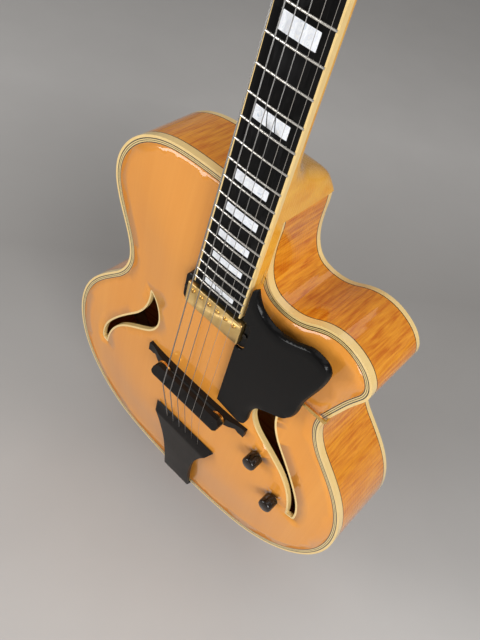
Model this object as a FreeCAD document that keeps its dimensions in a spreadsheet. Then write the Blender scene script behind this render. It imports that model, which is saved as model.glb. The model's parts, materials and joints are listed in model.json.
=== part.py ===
import FreeCAD, Part
import math
import os
from types import SimpleNamespace

import Sketcher
from FreeCAD import Placement, Rotation, Vector

# An archtop guitar with a rounded cutaway, standing upright.
# Frame in millimetres: +Z runs up the body towards the head, the carved top faces -Y and
# +X is the treble side. The origin is the tail end of the rim, on the axis of the end jack.

SIZES = {
    "body_length": 467.5,
    "front_reach": 37.5,
    "tail_depth": 102.0,
    "shoulder_depth": 68.0,
    "lower_bout": 410.0,
    "lower_bout_at": 152.0,
    "waist": 262.0,
    "waist_at": 298.0,
    "upper_bout": 321.0,
    "upper_bout_at": 393.0,
    "shoulder_width": 48.0,
    "horn_reach": 153.5,
    "horn_at": 375.0,
    "horn_top_reach": 110.0,
    "horn_top_at": 408.5,
    "cutaway_reach": 55.5,
    "cutaway_at": 391.0,
    "plate_thickness": 5.0,
    "top_arch": 14.0,
    "back_arch": 15.0,
    "side_thickness": 2.5,
    "binding_height": 7.0,
    "back_binding_height": 5.0,
    "purfling_width": 5.0,
    "purfling_depth": 1.5,
    "lining_width": 6.5,
    "lining_height": 14.0,
    "glue_gap": 0.4,
    "neck_block_width": 76.0,
    "neck_block_length": 42.0,
    "tail_block_width": 96.0,
    "tail_block_length": 22.0,
    "tone_bar_width": 8.0,
    "tone_bar_height": 13.0,
    "tone_bar_length": 300.0,
    "tone_bar_spread": 78.0,
    "tone_bar_at": 235.0,
    "hole_reach": 110.0,
    "hole_at": 210.0,
    "hole_binding": 2.2,
    "scale_length": 647.7,
    "fret_count": 24,
    "nut_width": 44.5,
    "board_end_width": 56.4,
    "board_length": 492.5,
    "board_thickness": 6.5,
    "board_radius": 406.0,
    "board_binding": 1.6,
    "neck_angle": 2.69,
    "neck_join": 392.0,
    "board_rise": 17.1,
    "neck_depth": 15.0,
    "heel_drop": 104.0,
    "heel_reach": 22.0,
    "heel_cap_thickness": 2.0,
    "tenon_width": 26.0,
    "tenon_length": 20.0,
    "tenon_depth": 56.0,
    "fret_width": 2.0,
    "fret_height": 1.1,
    "inlay_share": 0.6,
    "inlay_depth": 1.5,
    "inlay_corner": 0.5,
    "nut_thickness": 5.0,
    "nut_rise": 1.5,
    "head_angle": 14.0,
    "head_length": 172.0,
    "head_width": 80.0,
    "head_thickness": 14.0,
    "veneer_thickness": 2.0,
    "truss_radius": 3.0,
    "truss_length": 370.0,
    "cover_width": 24.0,
    "cover_length": 34.0,
    "cover_thickness": 1.8,
    "post_radius": 3.0,
    "post_waist_radius": 2.4,
    "post_rise": 17.0,
    "post_spread": 54.0,
    "post_first": 44.0,
    "post_pitch": 40.0,
    "running_gap": 0.06,
    "bushing_radius": 4.9,
    "bushing_flange": 7.0,
    "housing_width": 18.0,
    "housing_length": 19.0,
    "housing_depth": 10.0,
    "worm_radius": 2.0,
    "worm_offset": 5.8,
    "button_length": 17.0,
    "button_width": 20.0,
    "button_thickness": 8.0,
    "button_chamfer": 2.0,
    "string_spread_nut": 36.5,
    "string_spread_saddle": 55.0,
    "string_spread_tail": 50.0,
    "string_rise_saddle": 5.4,
    "saddle_compensation": 1.5,
    "wrap_turns": 1.5,
    "wrap_gap": 0.5,
    "bridge_length": 143.0,
    "bridge_width": 13.0,
    "bridge_thickness": 6.0,
    "bridge_foot_thickness": 4.0,
    "saddle_length": 97.0,
    "saddle_width": 12.0,
    "wheel_radius": 8.5,
    "wheel_thickness": 2.4,
    "wheel_spread": 80.4,
    "wheel_gap": 1.2,
    "stud_radius": 2.0,
    "stud_gap": 0.1,
    "tail_lip_at": 131.0,
    "tail_lip_width": 93.0,
    "tail_stem_width": 42.0,
    "tail_lip_rise": 22.0,
    "tail_thickness": 5.5,
    "tail_drop": 24.0,
    "hanger_width": 30.0,
    "hanger_thickness": 2.2,
    "pickup_at": 349.0,
    "pickup_width": 66.6,
    "pickup_length": 26.5,
    "pickup_height": 17.0,
    "pickup_rise": 22.5,
    "pickup_corner": 1.5,
    "pole_radius": 2.3,
    "pole_spread": 50.2,
    "pole_inset": 6.5,
    "ring_width": 80.0,
    "ring_length": 34.5,
    "ring_rise": 17.6,
    "ring_gap": 0.5,
    "ring_corner": 6.0,
    "screw_radius": 1.3,
    "screw_head_radius": 2.4,
    "guard_rise": 17.0,
    "guard_thickness": 3.0,
    "guard_bevel": 2.0,
    "guard_edge": 31.0,
    "bracket_width": 4.5,
    "bracket_thickness": 1.8,
    "bracket_at": 313.0,
    "bracket_leg": 104.0,
    "bracket_foot": 14.0,
    "bracket_rise": 4.0,
    "bracket_hook": 6.0,
    "knob_radius": 8.0,
    "knob_height": 15.0,
    "knob_gap": 1.2,
    "volume_reach": 93.0,
    "volume_at": 196.0,
    "tone_reach": 128.5,
    "tone_at": 148.0,
    "shaft_radius": 3.0,
    "pot_radius": 8.5,
    "pot_height": 9.0,
    "pot_bushing_radius": 4.0,
    "jack_radius": 6.0,
    "jack_bore": 3.2,
    "jack_flange": 9.0,
    "jack_rise": 9.0,
}

doc = FreeCAD.newDocument("ArchtopGuitar")
sheet = doc.addObject("Spreadsheet::Sheet", "Sizes")
for row, (alias, value) in enumerate(SIZES.items(), 1):
    sheet.set(f"A{row}", alias)
    sheet.set(f"B{row}", str(value))
    sheet.setAlias(f"B{row}", alias)
doc.recompute()


class Dim:
    """A size with the sheet expression that gives it, so sums of sizes stay bound."""

    def __init__(self, value, text):
        self.value = float(value)
        self.text = text

    @staticmethod
    def of(other):
        return other if isinstance(other, Dim) else Dim(other, f"({float(other)})")

    def __float__(self):
        return self.value

    def __add__(self, other):
        other = Dim.of(other)
        return Dim(self.value + other.value, f"({self.text} + {other.text})")

    def __sub__(self, other):
        other = Dim.of(other)
        return Dim(self.value - other.value, f"({self.text} - {other.text})")

    def __mul__(self, other):
        other = Dim.of(other)
        return Dim(self.value * other.value, f"({self.text} * {other.text})")

    def __truediv__(self, other):
        other = Dim.of(other)
        return Dim(self.value / other.value, f"({self.text} / {other.text})")

    def __neg__(self):
        return Dim(-self.value, f"(0 - {self.text})")

    def __rsub__(self, other):
        return Dim.of(other) - self


size = SimpleNamespace(**{name: Dim(sheet.get(name), "Sizes." + name) for name in SIZES})
mm = SimpleNamespace(**{name: float(sheet.get(name)) for name in SIZES})

FRONT = -mm.front_reach
REACH = 200.0
FACING = Rotation(Vector(1, 0, 0), 90)
SIDEWAYS = Rotation(Vector(0, 0, 1), Vector(0, -1, 0), Vector(1, 0, 0), "XYZ")

pieces = []


def feature(label, shape, placement=None):
    """A sub-part whose shape is worked out here from the sheet's sizes."""
    piece = doc.addObject("Part::Feature", label)
    piece.Shape = shape
    if placement is not None:
        piece.Placement = placement
    pieces.append(piece)
    return piece


def sketch_polygon(body, role, corners):
    """A closed sketch whose corners are bound to the sheet, on one of the body's planes."""
    sketch = body.newObject("Sketcher::SketchObject", body.Name + "_sketch")
    plane = [item for item in body.Origin.OriginFeatures if item.Role == role][0]
    sketch.AttachmentSupport = [(plane, "")]
    sketch.MapMode = "FlatFace"
    ends = [Vector(float(across), float(along), 0) for across, along in corners]
    for index, start in enumerate(ends):
        sketch.addGeometry(Part.LineSegment(start, ends[(index + 1) % len(ends)]))
    for index in range(len(ends)):
        sketch.addConstraint(Sketcher.Constraint("Coincident", index, 2, (index + 1) % len(ends), 1))
    for index, corner in enumerate(corners):
        for kind, distance in zip(("DistanceX", "DistanceY"), corner):
            number = sketch.addConstraint(Sketcher.Constraint(kind, index, 1, float(distance)))
            if isinstance(distance, Dim):
                sketch.setExpression(f"Constraints[{number}]", distance.text)
    return sketch


def revolved(label, profile, placement, keep=True):
    """A turned body from a profile of (radius, height) corners."""
    body = doc.addObject("PartDesign::Body", label)
    turn = body.newObject("PartDesign::Revolution", label + "_turn")
    turn.Profile = sketch_polygon(body, "XZ_Plane", profile)
    turn.ReferenceAxis = (turn.Profile[0], ["V_Axis"])
    turn.Angle = 360
    body.Placement = placement
    if keep:
        pieces.append(body)
    return body


def padded(label, profile, length, placement, keep=True):
    """A body padded from a polygon, square to it."""
    body = doc.addObject("PartDesign::Body", label)
    pad = body.newObject("PartDesign::Pad", label + "_pad")
    pad.Profile = sketch_polygon(body, "XY_Plane", profile)
    pad.Length = float(length)
    pad.setExpression("Length", Dim.of(length).text)
    body.Placement = placement
    if keep:
        pieces.append(body)
    return body


def placed(shape, placement):
    copy = shape.copy()
    copy.Placement = placement.multiply(copy.Placement)
    return copy


def box(low, high):
    """A block between two corners."""
    span = Vector(*high) - Vector(*low)
    return Part.makeBox(span.x, span.y, span.z, Vector(*low))


def rod(radius, start, end):
    start, end = Vector(*start), Vector(*end)
    return Part.makeCylinder(radius, (end - start).Length, start, end - start)


def polygon(points):
    return Part.Face(Part.makePolygon([Vector(*point) for point in points + points[:1]]))


def spline(points):
    curve = Part.BSplineCurve()
    curve.interpolate([Vector(*point) for point in points])
    return curve


STRAIGHT = 0.0005


def bent(start, corner, end):
    """The arc inside a corner whose two legs are equally long."""
    chord = (start + end) * 0.5
    if (corner - chord).Length < STRAIGHT:
        return Part.makeLine(start, end)
    share = (end - start).Length / 2 / (corner - start).Length
    return Part.Arc(start, chord + (corner - chord) * (share / (1 + share)), end).toShape()


def biarc(start, start_way, end, end_way):
    """Two arcs that leave start and reach end along the given ways and meet smoothly."""
    span, ways = end - start, start_way + end_way
    bend = 2 * (1 - start_way.dot(end_way))
    square = span.dot(span)
    reach = square / (math.sqrt(span.dot(ways) ** 2 + bend * square) + span.dot(ways))
    first, second = start + start_way * reach, end - end_way * reach
    middle = (first + second) * 0.5
    return [bent(start, first, middle), bent(middle, second, end)]


def arc_chain(points, ways):
    edges = []
    for index in range(len(points) - 1):
        edges += biarc(points[index], ways[index], points[index + 1], ways[index + 1])
    return edges


def stations(curve):
    """The points that a curve was drawn through, with the curve's ways there."""
    return [(curve.value(knot), curve.tangent(knot)[0]) for knot in curve.getKnots()]


def smooth(points):
    """Tangent arcs through the points, which turn as the curve through them does."""
    return arc_chain(*zip(*stations(spline(points))))


def mirrored(edges):
    return [edge.mirror(Vector(), Vector(1, 0, 0)) for edge in edges]


def closed(edges):
    return Part.Wire(Part.__sortEdges__(edges))


def rounded_rectangle(width, length, corner, centre):
    """A face in the XZ plane with round corners."""
    half_w, half_l = width / 2, length / 2
    edges = []
    turn = corner * (1 - math.sqrt(0.5))
    for sx, sz in ((1, 1), (-1, 1), (-1, -1), (1, -1)):
        side = Vector(sx * half_w, 0, sz * (half_l - corner))
        middle = Vector(sx * (half_w - turn), 0, sz * (half_l - turn))
        end = Vector(sx * (half_w - corner), 0, sz * half_l)
        arc = (side, middle, end) if sx == sz else (end, middle, side)
        edges.append(arc)
    loop = []
    for index, arc in enumerate(edges):
        loop.append(Part.Arc(*arc).toShape())
        loop.append(Part.LineSegment(arc[2], edges[(index + 1) % 4][0]).toShape())
    face = Part.Face(Part.Wire(loop))
    face.translate(Vector(centre[0], 0, centre[1]))
    return face


# The rim's outline


def between(start, end, shares):
    """Points on the way from start to end, as shares of the way across and along."""
    return [(start[0] + (end[0] - start[0]) * a, start[1] + (end[1] - start[1]) * b) for a, b in shares]


def outline_points():
    """The outline from the bass shoulder round the tail to the treble shoulder."""
    tail = (0.0, 0.0)
    shoulder = (mm.shoulder_width / 2, mm.body_length)
    lower = (mm.lower_bout / 2, mm.lower_bout_at)
    waist = (mm.waist / 2, mm.waist_at)
    upper = (mm.upper_bout / 2, mm.upper_bout_at)
    horn = (mm.horn_reach, mm.horn_at)
    horn_top = (mm.horn_top_reach, mm.horn_top_at)
    cutaway = (mm.cutaway_reach, mm.cutaway_at)
    half = between(tail, lower, [(0.296, 0.027), (0.582, 0.121), (0.831, 0.366), (0.969, 0.687)]) + [lower]
    half += between(lower, waist, [(0.19, 0.363), (0.544, 0.61), (0.898, 0.825)]) + [waist]
    bass = half + between(waist, upper, [(0.138, 0.232), (0.672, 0.6)]) + [upper]
    bass += between(upper, shoulder, [(0.1365, 0.597), (0.365, 0.879), (0.66, 0.98)]) + [shoulder]
    treble = half + between(waist, horn, [(0.26, 0.338), (0.717, 0.727)]) + [horn]
    treble += between(horn, horn_top, [(0.149, 0.478), (0.517, 0.85)]) + [horn_top]
    treble += between(horn_top, cutaway, [(0.33, 0.229), (0.679, 0.829)]) + [cutaway]
    treble += between(cutaway, shoulder, [(0.524, 0.065), (0.841, 0.261), (0.959, 0.51)]) + [shoulder]
    return [(-x, z) for x, z in reversed(bass)] + [tail] + treble


rim_stations = stations(spline([(x, 0, z) for x, z in outline_points()]))


def rim_wire(inset):
    """The closed outline, moved inwards by the inset and straight across under the neck."""
    top = mm.body_length - inset
    points, ways = [], []
    for point, way in rim_stations:
        points.append(point + Vector(-way.z, 0, way.x) * inset)
        ways.append(way)
    points[0] = Vector(-mm.shoulder_width / 2, 0, top)
    points[-1] = Vector(mm.shoulder_width / 2 - inset, 0, top)
    return Part.Wire(arc_chain(points, ways) + [Part.makeLine(points[-1], points[0])])


def back_at(z):
    """The back edge of the rim, which is deepest at the tail."""
    return FRONT + mm.tail_depth + (mm.shoulder_depth - mm.tail_depth) * z / mm.body_length


def behind(depth):
    """The space behind a plane that lies a depth in front of the rim's back edge."""
    low, high, far = -REACH, mm.body_length + REACH, FRONT + 2 * REACH
    side = [(-REACH * 2, back_at(low) - depth, low), (-REACH * 2, back_at(high) - depth, high),
            (-REACH * 2, far, high), (-REACH * 2, far, low)]
    return polygon(side).extrude(Vector(REACH * 4, 0, 0))


def prism(inset, low, high):
    """The body's outline as a block between two heights through the body."""
    face = Part.Face(rim_wire(inset))
    face.translate(Vector(0, low, 0))
    return face.extrude(Vector(0, high - low, 0))


def ring(outer, inner, low, high):
    """The strip of the outline between two insets, between two heights through the body."""
    strip = Part.Face(rim_wire(outer)).cut(Part.Face(rim_wire(inner)))
    strip.translate(Vector(0, low, 0))
    return strip.extrude(Vector(0, high - low, 0))


# The arched plates

EDGE_SAMPLES = 300
PURFLED = mm.side_thickness + mm.purfling_width
edge_wire = rim_wire(PURFLED)
edge_points = edge_wire.discretize(Number=EDGE_SAMPLES)
edge_step = edge_wire.Length / EDGE_SAMPLES
arched_area = Part.Face(edge_wire)


def soft_distance(x, z):
    """A smooth stand-in for the distance to the flat edge, from the sum over its points."""
    total = 0.0
    for point in edge_points:
        total += edge_step / (0.01 + math.hypot(point.x - x, point.z - z)) ** 3
    return (total / 2) ** -0.5


crown_distance = soft_distance(0, mm.lower_bout_at + mm.tail_block_length)


def arch_share(x, z):
    """The arch's height as a share of its crown: hollow near the rim, round in the middle."""
    if not arched_area.isInside(Vector(x, 0, z), 0.01, True):
        return 0.0
    share = min(soft_distance(x, z) / crown_distance, 1.0)
    return share * share * (3 - 2 * share)


GRID_STEP = 28.0
GRID_MARGIN = 6.0
columns = math.ceil((mm.lower_bout / 2 + GRID_MARGIN) / GRID_STEP)
rows = math.ceil((mm.body_length + 2 * GRID_MARGIN) / GRID_STEP)
arch_grid = []
for column in range(-columns, columns + 1):
    line = []
    for row in range(rows + 1):
        x, z = column * GRID_STEP, row * GRID_STEP - GRID_MARGIN
        line.append((x, z, arch_share(x, z)))
    arch_grid.append(line)


def arch_face(edge_at, rise):
    """The outer face of a plate, which rises from the rim's edge."""
    surface = Part.BSplineSurface()
    surface.interpolate([[Vector(x, edge_at(z) + rise * share, z) for x, z, share in line]
                         for line in arch_grid])
    return surface.toShape()


def front_at(z):
    return FRONT


top_face = arch_face(front_at, -mm.top_arch)
back_face = arch_face(back_at, mm.back_arch)


def sunk(face, side, start, end):
    """What lies under a plate's outer face between two depths."""
    moved = face.copy()
    moved.translate(Vector(0, -side * start, 0))
    return moved.extrude(Vector(0, side * (start - end), 0))


def trimmed(face, inset):
    """The part of an arched face inside an inset of the outline."""
    return face.common(prism(inset, -REACH, REACH))


def top_at(x, z):
    """The height of the top's outer face over the rim plane."""
    line = Part.makeLine(Vector(x, FRONT - REACH, z), Vector(x, FRONT + REACH, z))
    return FRONT - line.common(sunk(top_face, -1, 0, mm.plate_thickness)).BoundBox.YMin


def on_top(shape):
    """A piece that stands on the top, with its foot cut to the arch."""
    return shape.cut(sunk(top_face, -1, 0, REACH / 2))


def inside_body(shape):
    """An inner block cut to the space between the plates and the sides."""
    room = shape.common(prism(mm.side_thickness, -REACH, REACH))
    room = room.cut(sunk(top_face, -1, -REACH, mm.plate_thickness))
    return room.cut(sunk(back_face, 1, -REACH, mm.plate_thickness))


# Frames of the neck and the head

turn = math.radians(mm.neck_angle)
nut_point = Vector(0, FRONT - mm.board_rise + mm.neck_join * math.sin(turn),
                   mm.body_length + mm.neck_join * math.cos(turn))
neck_place = Placement(nut_point, Rotation(Vector(1, 0, 0), -mm.neck_angle))
head_place = neck_place.multiply(Placement(Vector(0, mm.board_thickness, mm.nut_thickness),
                                           Rotation(Vector(1, 0, 0), -mm.head_angle)))


def fret_at(number):
    return mm.scale_length * (1 - 2 ** (-number / 12))


def board_half(distance):
    """Half the board's width at a distance from the nut."""
    growth = (mm.board_end_width - mm.nut_width) * distance / mm.board_length
    return (mm.nut_width + growth) / 2


crest = neck_place.multVec(Vector(0, -mm.string_rise_saddle, -mm.scale_length - mm.saddle_compensation))
CREST_INSET = 1.0
bridge_at = crest.z + mm.saddle_width / 2 - CREST_INSET


# Sound holes, and what else opens the top

HOLE_INNER = [(-20, 71), (-29, 67), (-36.5, 58), (-40, 45), (-36, 31), (-11, 5.5), (22, -26), (36.5, -57),
              (39.5, -74)]
HOLE_OUTER = [(46.5, -74), (45, -56), (31, -25.5), (8, 6), (-13, 35), (-19.5, 54), (-20, 71)]
ROUT_ROOM = 3.0


def hole_wire(side):
    """The opening of one sound hole in the XZ plane; side is -1 for the bass and 1 for the treble."""
    def points(shape):
        return [(side * (mm.hole_reach + x), 0, mm.hole_at + z) for x, z in shape]
    inner, outer = points(HOLE_INNER), points(HOLE_OUTER)
    foot = Part.makeLine(Vector(*inner[-1]), Vector(*outer[0]))
    return Part.Wire(smooth(inner) + [foot] + smooth(outer))


def through_top(wire):
    face = Part.Face(wire)
    face.translate(Vector(0, FRONT - REACH / 2, 0))
    return face.extrude(Vector(0, REACH / 2 + mm.front_reach / 2, 0))


def make_top():
    """The carved top with its openings and the channel along its edge for the purfling."""
    field = trimmed(top_face, mm.side_thickness)
    rout = rounded_rectangle(mm.pickup_width + ROUT_ROOM, mm.pickup_length + ROUT_ROOM, mm.pickup_corner,
                             (0, mm.pickup_at))
    field = field.cut(rout.extrude(Vector(0, -REACH, 0)))
    for x, z in knob_spots():
        field = field.cut(rod(mm.pot_bushing_radius, (x, FRONT - REACH, z), (x, 0, z)))
    hole_bindings = []
    for side in (-1, 1):
        bound = through_top(hole_wire(side).makeOffset2D(mm.hole_binding))
        rim = field.common(bound).cut(through_top(hole_wire(side)))
        hole_bindings.append(sunk(rim, -1, 0, mm.plate_thickness))
        field = field.cut(bound)
    channel = ring(mm.side_thickness / 2, PURFLED, FRONT - mm.plate_thickness, FRONT + mm.purfling_depth)
    feature("top_plate", sunk(field, -1, 0, mm.plate_thickness).cut(channel))
    feature("soundhole_bindings", Part.makeCompound(hole_bindings))
    feature("top_purfling", ring(mm.side_thickness, PURFLED, FRONT, FRONT + mm.purfling_depth))
    feature("top_binding", ring(0, mm.side_thickness, FRONT, FRONT + mm.binding_height))
    feature("tone_bars", Part.makeCompound([tone_bar(side) for side in (-1, 1)]))


TONE_BAR_LEAN = -2.5


def tone_bar(side):
    """A brace along the inside of the top, leaning a little towards the neck."""
    bar = box((-mm.tone_bar_width / 2, -REACH, -mm.tone_bar_length / 2),
              (mm.tone_bar_width / 2, REACH, mm.tone_bar_length / 2))
    bar.Placement = Placement(Vector(side * mm.tone_bar_spread / 2, 0, mm.tone_bar_at),
                              Rotation(Vector(0, 1, 0), side * TONE_BAR_LEAN))
    return sunk(top_face.common(bar), -1, mm.plate_thickness, mm.plate_thickness + mm.tone_bar_height)


def make_back():
    feature("back_plate", sunk(trimmed(back_face, mm.side_thickness), 1, 0, mm.plate_thickness))
    edging = ring(0, mm.side_thickness, 0, FRONT + REACH)
    feature("back_binding", edging.common(behind(mm.back_binding_height)).cut(behind(0)))


def make_sides():
    sides = ring(0, mm.side_thickness, FRONT + mm.binding_height, FRONT + REACH)
    feature("sides", sides.cut(behind(mm.back_binding_height)).cut(tenon()).cut(jack_bore()))
    neck_end = box((-mm.neck_block_width / 2, -REACH, mm.body_length - mm.neck_block_length),
                   (mm.neck_block_width / 2, REACH, mm.body_length))
    tail_end = box((-mm.tail_block_width / 2, -REACH, 0),
                   (mm.tail_block_width / 2, REACH, mm.tail_block_length))
    feature("neck_block", inside_body(neck_end).cut(tenon()))
    feature("tail_block", inside_body(tail_end).cut(jack_bore()))
    inner = mm.side_thickness + mm.lining_width
    depth = mm.plate_thickness + mm.lining_height
    under = mm.plate_thickness + mm.glue_gap
    top_strip = ring(mm.side_thickness, inner, FRONT + under, FRONT + depth)
    back_strip = ring(mm.side_thickness, inner, 0, FRONT + REACH)
    back_strip = back_strip.common(behind(depth)).cut(behind(under))
    strips = [strip.cut(neck_end).cut(tail_end) for strip in (top_strip, back_strip)]
    feature("linings", Part.makeCompound(strips))


def tenon():
    """The neck's tenon, which fills a slot through the sides into the neck block."""
    return box((-mm.tenon_width / 2, FRONT + mm.binding_height, mm.body_length - mm.tenon_length),
               (mm.tenon_width / 2, FRONT + mm.tenon_depth, mm.body_length + 1))


def jack_bore():
    return rod(mm.jack_radius, (0, 0, -REACH), (0, 0, mm.tail_block_length + REACH / 4))


def knob_spots():
    return [(mm.volume_reach, mm.volume_at), (mm.tone_reach, mm.tone_at)]


# The neck, its board and the head

SECTION_STEPS = 10
NECK_STATIONS = 26
NECK_OVERLAP = 5.0
HEEL_RUN = 9.0
HEAD_RUN = 4.0
TRUSS_POCKET = 18.0
SHAFT_SWELL = 0.004
HEEL_SQUARENESS = 3.0


def neck_section(z):
    """The neck's section at a height: round along the shaft, deep and square at the heel."""
    half = board_half(-z)
    heel = 1 / (1 + (abs(z + mm.neck_join) / mm.heel_reach) ** 4)
    depth = mm.neck_depth - z * SHAFT_SWELL + mm.heel_drop * heel
    power = 2 / (2 + HEEL_SQUARENESS * heel)
    points = []
    for step in range(SECTION_STEPS + 1):
        angle = math.pi * step / SECTION_STEPS
        across = math.copysign(abs(math.cos(angle)) ** power, math.cos(angle))
        points.append((half * across, mm.board_thickness + depth * abs(math.sin(angle)) ** power, z))
    return Part.Wire([spline(points).toShape(), Part.makeLine(Vector(*points[-1]), Vector(*points[0]))])


def head_face():
    """The head's outline in its own frame, three pegs a side, with a shallow curved crown."""
    foot, width, length = mm.nut_width / 2, mm.head_width / 2, mm.head_length
    cheek = [(foot, 0, 0), (foot + 1.5, 0, 10), (width - 6, 0, 27), (width - 3, 0, 42)]
    corner = (width, 0, length - 12)
    right = smooth(cheek) + [Part.makeLine(Vector(*cheek[-1]), Vector(*corner))]
    crown = Part.Arc(Vector(*corner), Vector(0, 0, length), Vector(-corner[0], 0, corner[2])).toShape()
    base = Part.makeLine(Vector(-foot, 0, 0), Vector(foot, 0, 0))
    return Part.Face(closed(right + [crown] + mirrored(right) + [base]))


def post_spots():
    """The six string posts in the head's frame, from the lowest string to the highest."""
    rows_up = [mm.post_first + mm.post_pitch * step for step in range(3)]
    bass = [(-mm.post_spread / 2, z) for z in rows_up]
    treble = [(mm.post_spread / 2, z) for z in reversed(rows_up)]
    return bass + treble


def truss_channel():
    """The slot for the truss rod, open at the head under its cover."""
    deep = mm.board_thickness + 3 * mm.truss_radius
    slot = box((-mm.truss_radius, mm.board_thickness, -mm.truss_length),
               (mm.truss_radius, deep, mm.nut_thickness + 1))
    pocket = box((-mm.truss_radius, 0, mm.nut_thickness),
                 (mm.truss_radius, deep, mm.nut_thickness + TRUSS_POCKET))
    return placed(slot.fuse(pocket), neck_place)


def post_holes():
    holes = [rod(mm.bushing_radius, (x, -REACH, z), (x, REACH, z)) for x, z in post_spots()]
    return placed(Part.makeCompound(holes), head_place)


def make_neck():
    start, end = -mm.neck_join - HEEL_RUN, mm.nut_thickness + HEAD_RUN
    heights = [start + (end - start) * step / NECK_STATIONS for step in range(NECK_STATIONS + 1)]
    shaft = Part.makeLoft([neck_section(z) for z in heights], True, False)
    head = placed(head_face().extrude(Vector(0, mm.head_thickness, 0)), head_place)
    over_head = placed(box((-REACH, -REACH, 0), (REACH, 0, REACH)), head_place)
    far, near, joined = board_half(mm.board_length), board_half(mm.neck_join), NECK_OVERLAP - mm.neck_join
    extension = placed(polygon([(-far, mm.board_thickness, -mm.board_length),
                                (far, mm.board_thickness, -mm.board_length),
                                (near, mm.board_thickness, joined),
                                (-near, mm.board_thickness, joined)]
                               ).extrude(Vector(0, mm.front_reach, 0)), neck_place)
    below = box((-REACH, -REACH, 0), (REACH, REACH, mm.body_length))
    shaft = placed(shaft, neck_place).cut(below)
    cap = shaft.common(behind(mm.heel_cap_thickness)).cut(behind(0))
    shaft = shaft.cut(behind(mm.heel_cap_thickness)).fuse(head).cut(over_head)
    seated = on_top(extension.common(below).cut(prism(0, FRONT, FRONT + REACH)))
    over_heel = box((-REACH, -REACH, 0), (REACH, FRONT, mm.body_length + NECK_OVERLAP))
    joining = extension.cut(below).common(over_heel)
    neck = shaft.fuse(seated.fuse(joining)).fuse(tenon()).cut(truss_channel()).cut(post_holes())
    feature("neck", neck.removeSplitter())
    feature("heel_cap", cap)
    veneer = placed(head_face().extrude(Vector(0, -mm.veneer_thickness, 0)), head_place)
    feature("headstock_veneer", veneer.cut(truss_channel()).cut(post_holes()))


CROWN_ROOM = 5.0


def board_prism(inset, length):
    """The board's tapered outline as a block, drawn in from its sides."""
    near, far = board_half(0) - inset, board_half(length) - inset
    plan = polygon([(-near, -CROWN_ROOM, 0), (near, -CROWN_ROOM, 0),
                    (far, -CROWN_ROOM, -length), (-far, -CROWN_ROOM, -length)])
    return plan.extrude(Vector(0, CROWN_ROOM + mm.board_thickness, 0))


def crowned(extra=0.0):
    """The round of the board's playing face."""
    return rod(mm.board_radius + extra, (0, mm.board_radius, -REACH * 4), (0, mm.board_radius, REACH))


INLAID_FRETS = (3, 5, 7, 9, 12, 15, 17, 19, 21, 24)
SPLIT_FRETS = (12, 24)
INLAY_LENGTH_SHARE = 0.55
SPLIT_REACH_SHARE = 0.12
SPLIT_HALF = 0.4
SPLIT_LEAN = -14


def inlay_shapes():
    """Pearl blocks; those at the octaves are cut in three by slanted lines."""
    shapes = []
    for number in INLAID_FRETS:
        middle = (fret_at(number - 1) + fret_at(number)) / 2
        width = 2 * board_half(middle) * mm.inlay_share
        length = (fret_at(number) - fret_at(number - 1)) * INLAY_LENGTH_SHARE
        block = rounded_rectangle(width, length, mm.inlay_corner, (0, -middle))
        block.translate(Vector(0, mm.inlay_depth, 0))
        block = block.extrude(Vector(0, -CROWN_ROOM, 0)).common(crowned())
        if number in SPLIT_FRETS:
            for side in (-1, 1):
                cut = box((-SPLIT_HALF, -CROWN_ROOM, -length), (SPLIT_HALF, CROWN_ROOM, length))
                cut.Placement = Placement(Vector(side * width * SPLIT_REACH_SHARE, 0, -middle),
                                          Rotation(Vector(0, 1, 0), SPLIT_LEAN))
                block = block.cut(cut)
        shapes.append(block)
    return Part.makeCompound(shapes)


FRET_ROOT = 2.0
FRET_SHOULDER = 0.6


def fret_shapes():
    """Round-topped wires across the board, each bent to its radius."""
    shell = crowned(mm.fret_height).cut(crowned())
    base, crown = mm.fret_width / 2, mm.fret_width / 4
    shapes = []
    for number in range(1, int(mm.fret_count) + 1):
        at = fret_at(number)
        half = board_half(at) - mm.board_binding / 3
        section = polygon([(-half, FRET_ROOT, -at - base), (-half, FRET_SHOULDER, -at - base),
                           (-half, -mm.fret_height, -at - crown), (-half, -mm.fret_height, -at + crown),
                           (-half, FRET_SHOULDER, -at + base), (-half, FRET_ROOT, -at + base)])
        shapes.append(section.extrude(Vector(2 * half, 0, 0)).common(shell))
    return Part.makeCompound(shapes)


NUT_TOP_SHARE = 0.6


def make_board():
    inlays = inlay_shapes()
    core = board_prism(mm.board_binding, mm.board_length)
    edging = board_prism(0, mm.board_length).cut(core)
    feature("fretboard", core.common(crowned()).cut(inlays), neck_place)
    feature("fretboard_binding", edging.common(crowned()), neck_place)
    feature("fret_inlays", inlays, neck_place)
    feature("frets", fret_shapes(), neck_place)
    nut_base = Placement(Vector(-mm.nut_width / 2, mm.board_thickness, 0), SIDEWAYS)
    top = size.board_thickness + size.nut_rise
    padded("nut", [(0, 0), (size.nut_thickness, 0), (size.nut_thickness, size.board_thickness),
                   (size.nut_thickness * NUT_TOP_SHARE, top), (0, top)],
           size.nut_width, neck_place.multiply(nut_base))


TRUSS_END = 8.0
COVER_FOOT = 2.0
COVER_SHOULDER = (0.62, 0.7)


def make_truss():
    depth = mm.board_thickness + 1.5 * mm.truss_radius
    start = neck_place.multiply(Placement(Vector(0, depth, TRUSS_END - mm.truss_length), Rotation()))
    revolved("truss_rod", [(0, 0), (size.truss_radius, 0), (size.truss_radius, size.truss_length),
                           (0, size.truss_length)], start)
    cover_place = head_place.multiply(Placement(Vector(0, -mm.veneer_thickness, COVER_FOOT), FACING))
    half = size.cover_width / 2
    across, along = half * COVER_SHOULDER[0], size.cover_length * COVER_SHOULDER[1]
    plan = [(-half, 0), (half, 0), (across, along), (0, size.cover_length), (-across, along)]
    padded("truss_rod_cover", plan, size.cover_thickness, cover_place)


# The tuning machines


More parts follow.
